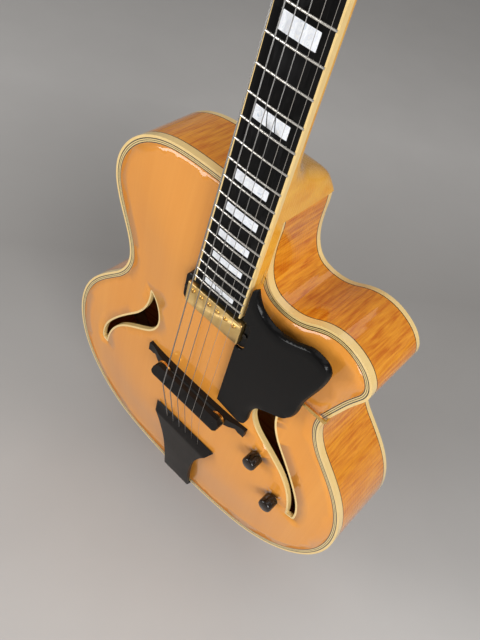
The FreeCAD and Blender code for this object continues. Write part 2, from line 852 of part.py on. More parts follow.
def tuner_place(x, z):
    """The frame of one tuner: its Z axis is the post, rising from the head's back."""
    side = math.copysign(1, x)
    spin = Rotation(Vector(0, 0, 1), 90 - side * 90)
    return head_place.multiply(Placement(Vector(x, mm.head_thickness, z), FACING.multiply(spin)))


GRIP_PLAN = [(0, 0.3), (0.2, 0.8), (0.5, 1), (0.85, 0.8), (1, 0.35)]


def button_grip():
    """A tuner button's oval grip with its long edges eased, from its shaft outwards."""
    long, wide = size.button_length, size.button_width / 2
    side = [(long * along, wide * share) for along, share in GRIP_PLAN]
    plan = side + [(along, -across) for along, across in reversed(side)]
    body = padded("grip_master", plan, size.button_thickness, Placement(), keep=False)
    doc.recompute()
    pad = body.Tip
    easing = body.newObject("PartDesign::Chamfer", "grip_easing")
    flat = [f"Edge{index}" for index, edge in enumerate(pad.Shape.Edges, 1) if edge.BoundBox.ZLength < 0.01]
    easing.Base = (pad, flat)
    easing.Size = mm.button_chamfer
    easing.setExpression("Size", size.button_chamfer.text)
    doc.recompute()
    return body.Shape


POST_STUB_SHARE = 0.6
POST_STUB_GAP = 0.3
GROOVE_FOOT = 12.5
GROOVE_START = 11.5
GROOVE_END = 4.0
POST_TIP = 2.0
BUSHING_INSET = 3.0
FLANGE_THICKNESS = 1.2
FLANGE_RISE = 2.6
HOUSING_INNER_SHARE = 0.42
HOUSING_OUTER_SHARE = 0.58
HOUSING_CORNER = 3.0
HOUSING_NOSE = 2.0
HOUSING_NOSE_INSET = 4.0
WORM_END = -3.5
WORM_HOLE_END = -4.0
SHANK_IN_GRIP = 7.0
COLLAR_SHARE = 1.7
COLLAR_GAP = 0.4
COLLAR_LENGTH = 3.0


def post_shape():
    """A string post with a groove near its tip for the wraps."""
    rise = size.head_thickness + size.veneer_thickness + size.post_rise
    stub = -size.housing_depth * POST_STUB_SHARE
    outer, waist = size.post_radius, size.post_waist_radius
    return revolved("post_master", [(0, stub), (outer, stub), (outer, rise - GROOVE_FOOT),
                                    (waist, rise - GROOVE_START), (waist, rise - GROOVE_END),
                                    (outer, rise - POST_TIP), (outer, rise), (0, rise)],
                    Placement(), keep=False)


def bushing_shape():
    """The flanged sleeve that holds a post in the head."""
    through = size.head_thickness + size.veneer_thickness
    bore, outer = size.post_radius + size.running_gap, size.bushing_radius
    return revolved("bushing_master", [(bore, BUSHING_INSET), (outer, BUSHING_INSET), (outer, through),
                                       (size.bushing_flange, through),
                                       (size.bushing_flange, through + FLANGE_THICKNESS),
                                       (outer, through + FLANGE_RISE), (bore, through + FLANGE_RISE)],
                    Placement(), keep=False)


def housing_shape():
    """The gear case on the head's back, before its bores are cut."""
    half = size.housing_length / 2
    inner, outer = -size.housing_width * HOUSING_INNER_SHARE, size.housing_width * HOUSING_OUTER_SHARE
    corner, nose = half - HOUSING_CORNER, half - HOUSING_NOSE_INSET
    return padded("housing_master", [(inner, -half), (outer - HOUSING_CORNER, -half), (outer, -corner),
                                     (outer, corner), (outer - HOUSING_CORNER, half), (inner, half),
                                     (inner - HOUSING_NOSE, nose), (inner - HOUSING_NOSE, -nose)],
                  size.housing_depth, Placement(Vector(0, 0, -mm.housing_depth), Rotation()), keep=False)


def make_tuners():
    post, bushing, housing = post_shape(), bushing_shape(), housing_shape()
    doc.recompute()
    gap = mm.running_gap
    across, level = -mm.worm_offset, -mm.housing_depth / 2
    worm_end = mm.housing_width * HOUSING_OUTER_SHARE
    worm_hole = rod(mm.worm_radius + gap, (WORM_HOLE_END, across, level), (worm_end + 1, across, level))
    post_foot = -mm.housing_depth * POST_STUB_SHARE - POST_STUB_GAP
    post_hole = rod(mm.post_radius + gap, (0, 0, post_foot), (0, 0, 1))
    case = housing.Shape.cut(worm_hole).cut(post_hole)

    shank = rod(mm.worm_radius, (WORM_END, across, level), (worm_end + SHANK_IN_GRIP, across, level))
    collar_start = worm_end + COLLAR_GAP
    collar = rod(mm.worm_radius * COLLAR_SHARE, (collar_start, across, level),
                 (collar_start + COLLAR_LENGTH, across, level))
    grip_place = Vector(worm_end + COLLAR_LENGTH, across, level - mm.button_thickness / 2)
    button = shank.fuse(collar).fuse(placed(button_grip(), Placement(grip_place, Rotation())))

    frames = [tuner_place(x, z) for x, z in post_spots()]
    feature("tuner_bushings", Part.makeCompound([placed(bushing.Shape, frame) for frame in frames]))
    feature("tuner_housings", Part.makeCompound([placed(case, frame) for frame in frames]))
    for number, frame in enumerate(frames, 1):
        feature(f"string_post_{number}", post.Shape, frame)
        feature(f"tuner_button_{number}", button, frame)


# Bridge, tailpiece and pickup


def rise_to_y(rise):
    """The Y of a height over the top's rim plane."""
    return FRONT - rise


base_rise = top_at(0, bridge_at) + mm.bridge_thickness
wheel_rise = base_rise + mm.wheel_gap
saddle_rise = wheel_rise + mm.wheel_thickness
crest_rise = FRONT - crest.y


def wheel_spots():
    return {"bass": -mm.wheel_spread / 2, "treble": mm.wheel_spread / 2}


FOOT_LENGTH = 11.0
FOOT_TEST = 4.0
FOOT_PAD = 7.0
FOOT_DEPTH_SHARE = 0.8
ANKLE_DEPTH_SHARE = 0.2
ANKLE_LENGTH = 14.0
STEP_START = 6.0
STEP_END = 12.0
STUD_DEPTH = 4.0
STUD_TIP = 6.0


def make_bridge():
    half, width = mm.bridge_length / 2, mm.bridge_width / 2
    waist = half - FOOT_LENGTH
    foot = top_at(half - FOOT_TEST, bridge_at) + mm.bridge_foot_thickness
    low = -REACH / 10
    front_edge = [(-half, width), (half, width)]
    pad, ankle = -width * FOOT_DEPTH_SHARE, -width * ANKLE_DEPTH_SHARE
    plan = [(x, 0, bridge_at + z) for x, z in front_edge + [
        (half, pad), (half - FOOT_PAD, pad), (waist, ankle), (waist - ANKLE_LENGTH, -width),
        (ANKLE_LENGTH - waist, -width), (-waist, ankle), (FOOT_PAD - half, pad), (-half, pad)]]
    blank = polygon(plan).extrude(Vector(0, -REACH, 0))
    flat_end = Vector(STEP_END - waist, rise_to_y(base_rise), 0)
    edge = smooth([(-half, rise_to_y(foot), 0), (-waist, rise_to_y(foot + 1), 0),
                   (STEP_START - waist, rise_to_y(base_rise - 1), 0), flat_end])
    flat = Part.makeLine(flat_end, Vector(-flat_end.x, flat_end.y, 0))
    closing = Part.makePolygon([Vector(-half, rise_to_y(foot), 0), Vector(-half, rise_to_y(low), 0),
                                Vector(half, rise_to_y(low), 0), Vector(half, rise_to_y(foot), 0)])
    profile = Part.Face(closed(edge + [flat] + mirrored(edge) + closing.Edges))
    base = on_top(profile.extrude(Vector(0, 0, REACH * 2)).common(blank))
    studs = []
    for x in wheel_spots().values():
        stud = rod(mm.stud_radius, (x, rise_to_y(base_rise - STUD_DEPTH), bridge_at),
                   (x, rise_to_y(saddle_rise + STUD_TIP), bridge_at))
        base = base.cut(stud)
        studs.append(stud)
    feature("bridge_base", base)
    feature("bridge_studs", Part.makeCompound(studs))
    bore = size.stud_radius + size.stud_gap
    for name, x in wheel_spots().items():
        revolved(f"thumbwheel_{name}", [(bore, 0), (size.wheel_radius, 0),
                                        (size.wheel_radius, size.wheel_thickness),
                                        (bore, size.wheel_thickness)],
                 Placement(Vector(x, rise_to_y(wheel_rise), bridge_at), FACING))
    make_saddle()


CREST_START = 0.8
CREST_END = 2.4
CREST_EASE = 1.5
SADDLE_FRONT_HEIGHT = 5.0
SADDLE_NOTCH = 5.0
SADDLE_END_HALF = 2.0
STUD_HOLE = 7.5


def make_saddle():
    """The saddle, sloped from its foot on the neck side to a crest under the strings."""
    half, width = mm.saddle_length / 2, mm.saddle_width / 2
    rear, front = bridge_at - width, bridge_at + width
    base, crown = rise_to_y(saddle_rise), rise_to_y(crest_rise)
    section = polygon([(-half, base, rear), (-half, crown + CREST_EASE, rear),
                       (-half, crown, rear + CREST_START), (-half, crown, rear + CREST_END),
                       (-half, base - SADDLE_FRONT_HEIGHT, front), (-half, base, front)])
    blank = section.extrude(Vector(mm.saddle_length, 0, 0))
    waist, upper, lower = half - SADDLE_NOTCH, bridge_at + SADDLE_END_HALF, bridge_at - SADDLE_END_HALF
    plan = [(x, 0, z) for x, z in ((-half, upper), (-waist, front), (waist, front), (half, upper),
                                   (half, lower), (waist, rear), (-waist, rear), (-half, lower))]
    saddle = blank.common(polygon(plan).extrude(Vector(0, -REACH, 0)))
    for x in wheel_spots().values():
        saddle = saddle.cut(rod(mm.stud_radius + mm.stud_gap, (x, base + 1, bridge_at),
                                (x, base - STUD_HOLE, bridge_at)))
    feature("bridge_saddle", saddle)


TAIL_PLAN = [(0.0, 1.0), (0.07, 0.77), (0.15, 0.53), (0.27, 0.29), (0.38, 0.13), (0.5, 0.05), (0.66, 0.0),
             (1.0, 0.0)]
TAIL_SLOPE = [(100, 2), (60, 6.5), (25, 11.5), (8, 14)]
LIP_REACH = 5.0
LIP_DROP = 7.0
LIP_BACK = 4.0
LIP_UNDER = 6.0
LIP_SWELL = 3.0
HANGER_TOP = 3.0
HANGER_TOE = 6.0


def side_curve(points):
    """A curve in the centre plane through points given as distance up the body and rise."""
    return smooth([(0, rise_to_y(rise), z) for z, rise in points])


def side_line(start, stop):
    return Part.makeLine(Vector(0, rise_to_y(start[1]), start[0]), Vector(0, rise_to_y(stop[1]), stop[0]))


def make_tailpiece():
    """A fan of ebony that floats over the top and bends down over the tail rim."""
    lip, stem = mm.tail_lip_width / 2, mm.tail_stem_width / 2
    end = -mm.hanger_thickness - mm.tail_thickness
    front, rear = mm.tail_lip_at + LIP_REACH, end - 2
    flare, run = lip - stem, rear - front
    edge = smooth([(stem + flare * share, 0, front + run * along) for along, share in TAIL_PLAN])
    ends = [Part.makeLine(Vector(-lip, 0, front), Vector(lip, 0, front)),
            Part.makeLine(Vector(-stem, 0, rear), Vector(stem, 0, rear))]
    plan = Part.Face(closed(edge + mirrored(edge) + ends)).extrude(Vector(0, -REACH, 0))
    plan.translate(Vector(0, REACH / 2, 0))
    high, thick, inner = mm.tail_lip_rise, mm.tail_thickness, -mm.hanger_thickness
    upper = [(mm.tail_lip_at - LIP_BACK, high)] + [(z, high - fall) for z, fall in TAIL_SLOPE]
    upper += [(-2, 5), (end + 1, -1), (end, -9)]
    under = [(mm.tail_lip_at - LIP_UNDER, high - thick - LIP_SWELL)]
    under += [(z, high - fall - thick) for z, fall in TAIL_SLOPE[:-1]]
    heel_at, fall = TAIL_SLOPE[-1]
    under += [(heel_at, high - fall - thick + 0.4), (0.2, 1.4), (inner, -4), (inner, -9)]
    lip_low = (front, high - LIP_DROP)
    drop = -mm.tail_drop
    straight = [side_line(upper[-1], (end, drop)), side_line((end, drop), (inner, drop)),
                side_line((inner, drop), under[-1]), side_line(under[0], lip_low),
                side_line(lip_low, upper[0])]
    profile = Part.Face(closed(side_curve(upper) + side_curve(under) + straight))
    slab = profile.extrude(Vector(2 * REACH, 0, 0))
    slab.translate(Vector(-REACH, 0, 0))
    hanger_room = box((-REACH, FRONT, inner), (REACH, FRONT + REACH, REACH))
    feature("tailpiece", slab.common(plan).cut(hanger_room))
    half = size.hanger_width / 2
    low = size.tail_drop - 2
    toe = low + HANGER_TOE
    plan = [(-half, HANGER_TOP), (half, HANGER_TOP), (half, low), (half * 0.5, toe), (half * -0.5, toe),
            (-half, low)]
    padded("tailpiece_hanger", plan, size.hanger_thickness,
           Placement(Vector(0, FRONT, -mm.hanger_thickness), Rotation()))


POLE_COUNT = 6
POLE_RISE = 1.0
POLE_SLOT_HALF = 0.35
RING_CHAMFER = 0.6
SCREW_HEAD_RISE = 1.2
SCREW_CLEARANCE = 0.5


def make_pickup():
    half_w, half_l = size.pickup_width / 2, size.pickup_length / 2
    seat = Vector(0, rise_to_y(mm.pickup_rise - mm.pickup_height), mm.pickup_at)
    corners = [(-half_w, -half_l), (half_w, -half_l), (half_w, half_l), (-half_w, half_l)]
    cover = padded("pickup_cover", corners, size.pickup_height, Placement(seat, FACING))
    doc.recompute()
    rounding = cover.newObject("PartDesign::Fillet", "pickup_rounding")
    pad = cover.Tip if cover.Tip != rounding else rounding.BaseFeature
    edges = [f"Edge{index}" for index, edge in enumerate(pad.Shape.Edges, 1)
             if edge.BoundBox.ZMax > mm.pickup_height - 0.1]
    rounding.Base = (pad, edges)
    rounding.Radius = mm.pickup_corner
    rounding.setExpression("Radius", size.pickup_corner.text)
    poles = []
    pole_z = mm.pickup_at + mm.pickup_length / 2 - mm.pole_inset
    seat_y = rise_to_y(mm.pickup_rise)
    for step in range(POLE_COUNT):
        x = mm.pole_spread * (step / (POLE_COUNT - 1) - 0.5)
        pole = rod(mm.pole_radius, (x, seat_y, pole_z), (x, seat_y - POLE_RISE, pole_z))
        slot = box((x - mm.pole_radius, seat_y - 2 * POLE_RISE, pole_z - POLE_SLOT_HALF),
                   (x + mm.pole_radius, seat_y - POLE_RISE / 2, pole_z + POLE_SLOT_HALF))
        poles.append(pole.cut(slot))
    feature("pickup_poles", Part.makeCompound(poles))
    gap = 2 * mm.ring_gap
    outer = rounded_rectangle(mm.ring_width, mm.ring_length, mm.ring_corner, (0, mm.pickup_at))
    window = rounded_rectangle(mm.pickup_width + gap, mm.pickup_length + gap, mm.pickup_corner,
                               (0, mm.pickup_at))
    frame = outer.extrude(Vector(0, -REACH, 0)).cut(window.extrude(Vector(0, -REACH, 0)))
    ring_y = rise_to_y(mm.ring_rise)
    frame = frame.common(box((-REACH, ring_y, 0), (REACH, 0, 2 * REACH)))
    top_edges = [edge for edge in frame.Edges if abs(edge.BoundBox.YMin - ring_y) < 0.01
                 and abs(edge.BoundBox.YMax - ring_y) < 0.01]
    frame = on_top(frame.makeChamfer(RING_CHAMFER, top_edges))
    screws = []
    reach = (mm.ring_width + mm.pickup_width) / 4
    for side in (-1, 1):
        x = side * reach
        frame = frame.cut(rod(mm.screw_radius, (x, ring_y - 2, mm.pickup_at), (x, 0, mm.pickup_at)))
        shank = rod(mm.screw_radius, (x, ring_y, mm.pickup_at),
                    (x, rise_to_y(top_at(x, mm.pickup_at) + SCREW_CLEARANCE), mm.pickup_at))
        head = rod(mm.screw_head_radius, (x, ring_y, mm.pickup_at),
                   (x, ring_y - SCREW_HEAD_RISE, mm.pickup_at))
        screws.append(shank.fuse(head))
    feature("pickup_ring", frame)
    feature("pickup_screws", Part.makeCompound(screws))


# Pickguard, controls and jack

GUARD_EDGE = [(34, 407), (37, 400), (43.5, 391), (54.5, 384.5), (66, 382.5), (77, 385), (88, 390),
              (98, 393.5), (108.5, 393), (116, 390), (120, 384.5), (121, 375), (119.5, 363), (115.5, 346),
              (111, 325), (110, 308), (108, 301)]
GUARD_FOOT = [(108, 301), (104, 296.5), (94, 289.5), (83, 283), (75.5, 276), (70.5, 266), (68.5, 253),
              (68.5, 241), (67, 236)]
GUARD_TOE = (62, 235)
GUARD_HEEL_AT = 240
GUARD_TIP_AT = 405
RING_CLEARANCE = 1.5


def make_guard():
    """The floating guard, which follows the cutaway and stops at the bridge."""
    edge = mm.guard_edge
    over = smooth([(x, 0, z) for x, z in GUARD_EDGE])
    foot = smooth([(x, 0, z) for x, z in GUARD_FOOT])
    corners = [GUARD_FOOT[-1], GUARD_TOE, (edge, GUARD_HEEL_AT), (edge, GUARD_TIP_AT), GUARD_EDGE[0]]
    sides = Part.makePolygon([Vector(x, 0, z) for x, z in corners])
    guard = Part.Face(closed(over + foot + sides.Edges)).extrude(Vector(0, -mm.guard_thickness, 0))
    outer = [item for item in guard.Edges if item.BoundBox.YMax < 0.01 - mm.guard_thickness
             and item.BoundBox.ZMin > GUARD_EDGE[-1][1] - 0.1 and item.BoundBox.XMin > GUARD_EDGE[0][0] - 0.1]
    guard = guard.makeChamfer(mm.guard_bevel, outer)
    guard.translate(Vector(0, rise_to_y(mm.guard_rise), 0))
    clear = rounded_rectangle(mm.ring_width + RING_CLEARANCE, mm.ring_length + RING_CLEARANCE, mm.ring_corner,
                              (0, mm.pickup_at))
    feature("pickguard", guard.cut(clear.extrude(Vector(0, -REACH, 0))))


def make_bracket():
    """A bar from a foot under the guard, flat across the top and hooked over the rim."""
    thick, leg, rim_x = mm.bracket_thickness, mm.bracket_leg, rim_reach(mm.bracket_at)
    under, bar, hook = rise_to_y(mm.guard_rise), rise_to_y(mm.bracket_rise), FRONT + mm.bracket_hook
    profile = [(leg - mm.bracket_foot, under), (leg, under), (leg, bar - thick), (rim_x, bar - thick),
               (rim_x + thick, bar), (rim_x + thick, hook), (rim_x, hook), (rim_x, bar),
               (leg - thick, bar), (leg - thick, under + thick), (leg - mm.bracket_foot, under + thick)]
    bar = polygon([(x, y, mm.bracket_at - mm.bracket_width / 2) for x, y in profile])
    bar = on_top(bar.extrude(Vector(0, 0, mm.bracket_width)))
    feature("pickguard_bracket", bar.cut(prism(0, FRONT, FRONT + REACH)))


def rim_reach(z):
    """The rim's X on the treble side at a height."""
    line = Part.makeLine(Vector(mm.lower_bout, 0, z), Vector(0, 0, z))
    return line.common(Part.Face(rim_wire(0))).BoundBox.XMax


KNOB_CLEARANCE = 0.4
KNOB_CAP = 5.0
KNOB_WALL_TOP = 3.0
KNOB_DOME = [(0.93, 1.4), (0.75, 0.5)]
SHAFT_DEPTH = 4.0


def make_controls():
    """Two knobs on the shafts of potentiometers that hang under the top."""
    bore = size.shaft_radius + size.running_gap
    tall, wide = size.knob_height, size.knob_radius
    pots = []
    for name, (x, z) in zip(("volume", "tone"), knob_spots()):
        foot = max(top_heights(x, z, mm.knob_radius)) + mm.knob_gap
        inner = min(top_heights(x, z, mm.pot_radius)) - mm.plate_thickness
        seat = Placement(Vector(x, rise_to_y(inner), z), FACING)
        collar, stem = foot - inner - KNOB_CLEARANCE, foot - inner + mm.knob_height - KNOB_CAP
        dome = [(wide * share, tall - drop) for share, drop in KNOB_DOME]
        revolved(f"knob_{name}", [(size.shaft_radius, 0), (wide, 0), (wide, tall - KNOB_WALL_TOP)] + dome
                 + [(0, tall), (0, tall - KNOB_CAP), (size.shaft_radius, tall - KNOB_CAP)],
                 Placement(Vector(x, rise_to_y(foot), z), FACING))
        pots.append(revolved(f"pot_master_{name}", [
            (0, -size.pot_height), (size.pot_radius, -size.pot_height), (size.pot_radius, 0),
            (size.pot_bushing_radius, 0), (size.pot_bushing_radius, collar), (bore, collar),
            (bore, -SHAFT_DEPTH), (0, -SHAFT_DEPTH)], seat, keep=False))
        revolved(f"pot_shaft_{name}", [(0, KNOB_CLEARANCE - SHAFT_DEPTH),
                                       (size.shaft_radius, KNOB_CLEARANCE - SHAFT_DEPTH),
                                       (size.shaft_radius, stem), (0, stem)], seat)
    doc.recompute()
    feature("pots", Part.makeCompound([pot.Shape for pot in pots]))


def top_heights(x, z, radius):
    """The top's heights round a spot, to set a flat piece clear of the arch."""
    steps = (-radius, 0, radius)
    return [top_at(x + across, z + along) for across in steps for along in steps]


JACK_INSIDE = 8.0
JACK_FLANGE_EDGE = 3.0
JACK_FLANGE_FOOT = 4.5


def make_jack():
    """The end-pin jack through the tail block, flanged to hold a strap."""
    rise, inside = size.jack_rise, size.tail_block_length + JACK_INSIDE
    revolved("output_jack", [(size.jack_bore, -rise), (size.jack_flange, -rise),
                             (size.jack_flange, JACK_FLANGE_EDGE - rise),
                             (size.jack_radius, JACK_FLANGE_FOOT - rise), (size.jack_radius, inside),
                             (size.jack_bore, inside)],
             Placement())


# Strings


def rounded_corner(before, corner, after, radius):
    """The two ends and the arc that rounds a corner of a string's route."""
    back_way, on_way = (before - corner).normalize(), (after - corner).normalize()
    half = back_way.getAngle(on_way) / 2
    leg = radius / math.tan(half)
    return corner + back_way * leg, corner + on_way * leg


STRING_RADII = (0.71, 0.57, 0.445, 0.33, 0.216, 0.165)
REST = 0.12
WRAP_START = 5.0
ANCHOR_DROP = 3.5
ANCHOR_REACH = 0.5
BEND_RADIUS = 14.0


def post_wrap(number, radius, nut):
    """The wraps of a string round its post: points and ways, in the head's frame."""
    x, z = post_spots()[number]
    side = 1 if x < 0 else -1
    turn_radius = mm.post_waist_radius + REST + radius
    away = math.hypot(x - nut.x, z - nut.z)
    toward = math.atan2(z - nut.z, x - nut.x)
    angle = toward - side * (math.pi / 2 + math.asin(turn_radius / away))
    level = -mm.veneer_thickness - mm.post_rise + WRAP_START + radius
    pitch = 2 * radius + mm.wrap_gap
    steps = int(mm.wrap_turns * 4)
    points, ways = [], []
    for step in range(steps + 1):
        at = angle + side * step * math.pi / 2
        height = level + pitch * step / 4
        points.append(Vector(x + turn_radius * math.cos(at), height, z + turn_radius * math.sin(at)))
        slope = pitch / (2 * math.pi * turn_radius)
        ways.append(Vector(-side * math.sin(at), slope, side * math.cos(at)).normalize())
    return points, ways


def string_wire(number, radius):
    """A string's route from the tailpiece over the saddle and the nut to its post."""
    share = number / 5 - 0.5
    tail = Vector(share * mm.string_spread_tail, rise_to_y(mm.tail_lip_rise - ANCHOR_DROP),
                  mm.tail_lip_at + ANCHOR_REACH)
    saddle = Vector(share * mm.string_spread_saddle, crest.y - radius - REST, crest.z)
    nut = neck_place.multVec(Vector(share * mm.string_spread_nut, -mm.nut_rise - radius - REST,
                                    mm.nut_thickness / 3))
    to_head = head_place.inverse()
    points, ways = post_wrap(number, radius, to_head.multVec(nut))
    points = [head_place.multVec(point) for point in points]
    ways = [head_place.Rotation.multVec(way) for way in ways]
    edges, here = [], tail
    for before, corner, after in ((tail, saddle, nut), (saddle, nut, points[0])):
        start, end = rounded_corner(before, corner, after, BEND_RADIUS)
        edges.append(Part.makeLine(here, start))
        edges.append(bent(start, corner, end))
        here = end
    edges.append(Part.makeLine(here, points[0]))
    ways[0] = (points[0] - here).normalize()
    return Part.Wire(edges + arc_chain(points, ways))


WRAP_STEP = 0.5


def least_wrap_gap(wire, radius):
    """The least gap between neighbouring turns of a string on its post."""
    turn_length = 2 * math.pi * (mm.post_waist_radius + radius)
    points = wire.discretize(Distance=WRAP_STEP)[-int(mm.wrap_turns * turn_length / WRAP_STEP):]
    skip = int(turn_length * 0.6 / WRAP_STEP)
    gaps = [(points[b] - points[a]).Length for a in range(len(points)) for b in range(a + skip, len(points))]
    return min(gaps) - 2 * radius


STRING_SIDES = 6


def string_section(first, radius):
    """A string's section, drawn with flat sides, square to its first run."""
    start = first.valueAt(first.FirstParameter)
    turn_to = Rotation(Vector(0, 0, 1), first.tangentAt(first.FirstParameter))
    corners = []
    for side in range(STRING_SIDES + 1):
        angle = 2 * math.pi * side / STRING_SIDES
        corners.append(start + turn_to.multVec(Vector(radius * math.cos(angle), radius * math.sin(angle), 0)))
    return Part.makePolygon(corners)


def make_strings():
    for number, radius in enumerate(STRING_RADII):
        wire = string_wire(number, radius)
        section = string_section(wire.Edges[0], radius)
        tube = wire.makePipeShell([section], True, False)
        feature(f"string_{number + 1}", tube)
        print(f"string {number + 1}: least gap between wraps {least_wrap_gap(wire, radius):.2f} mm,",
              f"volume over section times length {tube.Volume / (Part.Face(section).Area * wire.Length):.4f}")


make_top()
make_back()
make_sides()
make_neck()
make_board()
make_truss()
make_tuners()
make_bridge()
make_tailpiece()
make_pickup()
make_guard()
make_bracket()
make_controls()
make_jack()
make_strings()
doc.recompute()

for item in doc.Objects:
    if "Invalid" in item.State or "Error" in item.State:
        raise RuntimeError(f"{item.Label} did not compute: {item.State}")
os.makedirs("parts", exist_ok=True)
for piece in pieces:
    if piece.Shape.isNull() or not piece.Shape.isValid():
        raise RuntimeError(f"{piece.Label} has no valid shape")
for piece in pieces:
    piece.Shape.exportStep(os.path.join("parts", piece.Label + ".step"))
print(len(pieces), "parts written")
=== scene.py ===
import json
import math

import bmesh
import bpy
from mathutils import Euler, Matrix, Vector, kdtree


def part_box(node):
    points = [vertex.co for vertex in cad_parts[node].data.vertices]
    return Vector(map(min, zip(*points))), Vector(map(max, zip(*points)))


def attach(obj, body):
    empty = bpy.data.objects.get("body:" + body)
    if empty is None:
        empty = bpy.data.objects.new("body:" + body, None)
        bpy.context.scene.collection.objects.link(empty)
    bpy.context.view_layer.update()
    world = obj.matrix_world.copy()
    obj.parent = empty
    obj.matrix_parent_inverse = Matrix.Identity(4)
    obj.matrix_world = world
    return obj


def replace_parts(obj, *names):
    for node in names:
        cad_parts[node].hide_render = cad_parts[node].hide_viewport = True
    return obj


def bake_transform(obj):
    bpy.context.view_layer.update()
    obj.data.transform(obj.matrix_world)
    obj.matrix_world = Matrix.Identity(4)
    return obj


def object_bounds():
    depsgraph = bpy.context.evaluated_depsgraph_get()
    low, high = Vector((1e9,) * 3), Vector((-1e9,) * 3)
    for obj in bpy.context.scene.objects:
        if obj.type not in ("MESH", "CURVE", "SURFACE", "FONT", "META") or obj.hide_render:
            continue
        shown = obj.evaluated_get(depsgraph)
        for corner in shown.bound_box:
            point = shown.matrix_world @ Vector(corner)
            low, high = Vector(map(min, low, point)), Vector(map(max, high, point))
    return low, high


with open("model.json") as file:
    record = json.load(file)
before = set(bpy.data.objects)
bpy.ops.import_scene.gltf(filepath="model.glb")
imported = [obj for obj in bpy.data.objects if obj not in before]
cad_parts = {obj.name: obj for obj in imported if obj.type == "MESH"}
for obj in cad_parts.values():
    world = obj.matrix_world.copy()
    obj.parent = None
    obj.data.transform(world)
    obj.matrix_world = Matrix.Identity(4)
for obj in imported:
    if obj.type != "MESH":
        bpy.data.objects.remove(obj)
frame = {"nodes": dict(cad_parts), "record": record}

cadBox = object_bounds()
mm = 0.001
bodyOf = {node: body for body, nodes in frame["record"]["behaviour"]["bodies"].items() for node in nodes}
slotOf = {part["node"]: part["material_slot"] for part in frame["record"]["subparts"]}


# Shader sums: a socket that takes part in Python expressions
class Value:
    def __init__(self, paint, socket):
        self.paint = paint
        self.socket = socket

    def __add__(self, other):
        return self.paint.math("ADD", self, other)

    def __sub__(self, other):
        return self.paint.math("SUBTRACT", self, other)

    def __rsub__(self, other):
        return self.paint.math("SUBTRACT", other, self)

    def __mul__(self, other):
        return self.paint.math("MULTIPLY", self, other)

    __radd__ = __add__
    __rmul__ = __mul__


class Paint:
    noiseRoughness = 0.55

    def __init__(self, name, fixed):
        self.material = bpy.data.materials.new(name)
        self.material.use_nodes = True
        self.tree = self.material.node_tree
        self.shader = self.tree.nodes["Principled BSDF"]
        self.feed(self.shader, fixed)

    def feed(self, target, values):
        for key, value in values.items():
            if isinstance(value, Value):
                self.tree.links.new(value.socket, target.inputs[key])
            else:
                target.inputs[key].default_value = value

    def node(self, kind, settings, values, output=0):
        made = self.tree.nodes.new(kind)
        for key, setting in settings.items():
            if key == "stops":
                self.setStops(made.color_ramp, setting)
            elif key == "steps":
                made.color_ramp.interpolation = setting
            else:
                setattr(made, key, setting)
        self.feed(made, values)
        return Value(self, made.outputs[output])

    def setStops(self, ramp, stops):
        while len(ramp.elements) < len(stops):
            ramp.elements.new(0.5)
        for element, (place, colour) in zip(ramp.elements, stops):
            element.position = place
            element.color = colour

    def math(self, operation, first, second):
        return self.node("ShaderNodeMath", {"operation": operation}, {0: first, 1: second})

    # The colour form of a Mix node has its two colours at sockets 6 and 7, and its result at 2
    def mix(self, factor, first, second):
        return self.node("ShaderNodeMix", {"data_type": "RGBA"}, {0: factor, 6: first, 7: second}, 2)

    def ramp(self, factor, stops, steps="LINEAR"):
        return self.node("ShaderNodeValToRGB", {"stops": stops, "steps": steps}, {0: factor})

    def place(self):
        where = self.node("ShaderNodeTexCoord", {}, {}, "Object")
        parts = self.node("ShaderNodeSeparateXYZ", {}, {"Vector": where})
        return [Value(self, socket) for socket in parts.socket.node.outputs]

    # Object coordinates, scaled, turned, and folded at the centre seam where two halves are matched
    def spot(self, scale, turn, matched):
        where = self.node("ShaderNodeTexCoord", {}, {}, "Object")
        if matched:
            where = self.node("ShaderNodeVectorMath", {"operation": "ABSOLUTE"}, {0: where})
        return self.node("ShaderNodeMapping", {}, {"Vector": where, "Scale": scale, "Rotation": turn})

    def noise(self, scale, detail=3.0, turn=(0, 0, 0), warp=0.0, matched=False):
        where = self.spot(scale, turn, matched)
        return self.node("ShaderNodeTexNoise", {}, {"Vector": where, "Scale": 1.0, "Detail": detail,
                                                    "Roughness": self.noiseRoughness, "Distortion": warp})

    def bump(self, height, strength, depth):
        return self.node("ShaderNodeBump", {}, {"Height": height, "Strength": strength, "Distance": depth})

    def put(self, **sockets):
        names = {"colour": "Base Color", "roughness": "Roughness", "normal": "Normal"}
        self.feed(self.shader, {names[key]: value for key, value in sockets.items()})
        return self.material


# A screen's levels, 0 to 255, as linear light
def tint(red, green, blue):
    def linear(level):
        level /= 255
        return level / 12.92 if level <= 0.04045 else ((level + 0.055) / 1.055) ** 2.4
    return (linear(red), linear(green), linear(blue), 1.0)


def grey(level):
    return (level, level, level, 1.0)


lacquer = {"Coat Weight": 1.0, "Coat Roughness": 0.03, "Specular IOR Level": 0.1}
polishedPlastic = {"Coat Weight": 0.8, "Coat Roughness": 0.05}
polishedShell = {"Coat Weight": 0.8, "Coat Roughness": 0.04}
polishedBone = {"Coat Weight": 0.2}
lacquerOverLines = {"Coat Weight": 1.0, "Coat Roughness": 0.04}
bareMetal = {"Metallic": 1.0}
blackLine = tint(34, 24, 14)

# Growth rings run up both matched halves of the top
spruceSet = {"dark": tint(222, 142, 50), "light": tint(236, 163, 72), "ring": tint(198, 116, 36),
             "glow": tint(230, 152, 58), "rings": (560, 6, 3), "bands": (52, 6, 1.5), "patches": (8, 8, 5),
             "hairs": (1900, 20, 22), "ringShare": 0.22, "glowShare": 0.3, "rough": 0.26, "hairRough": 0.08,
             "bump": (0.03, 0.0002)}


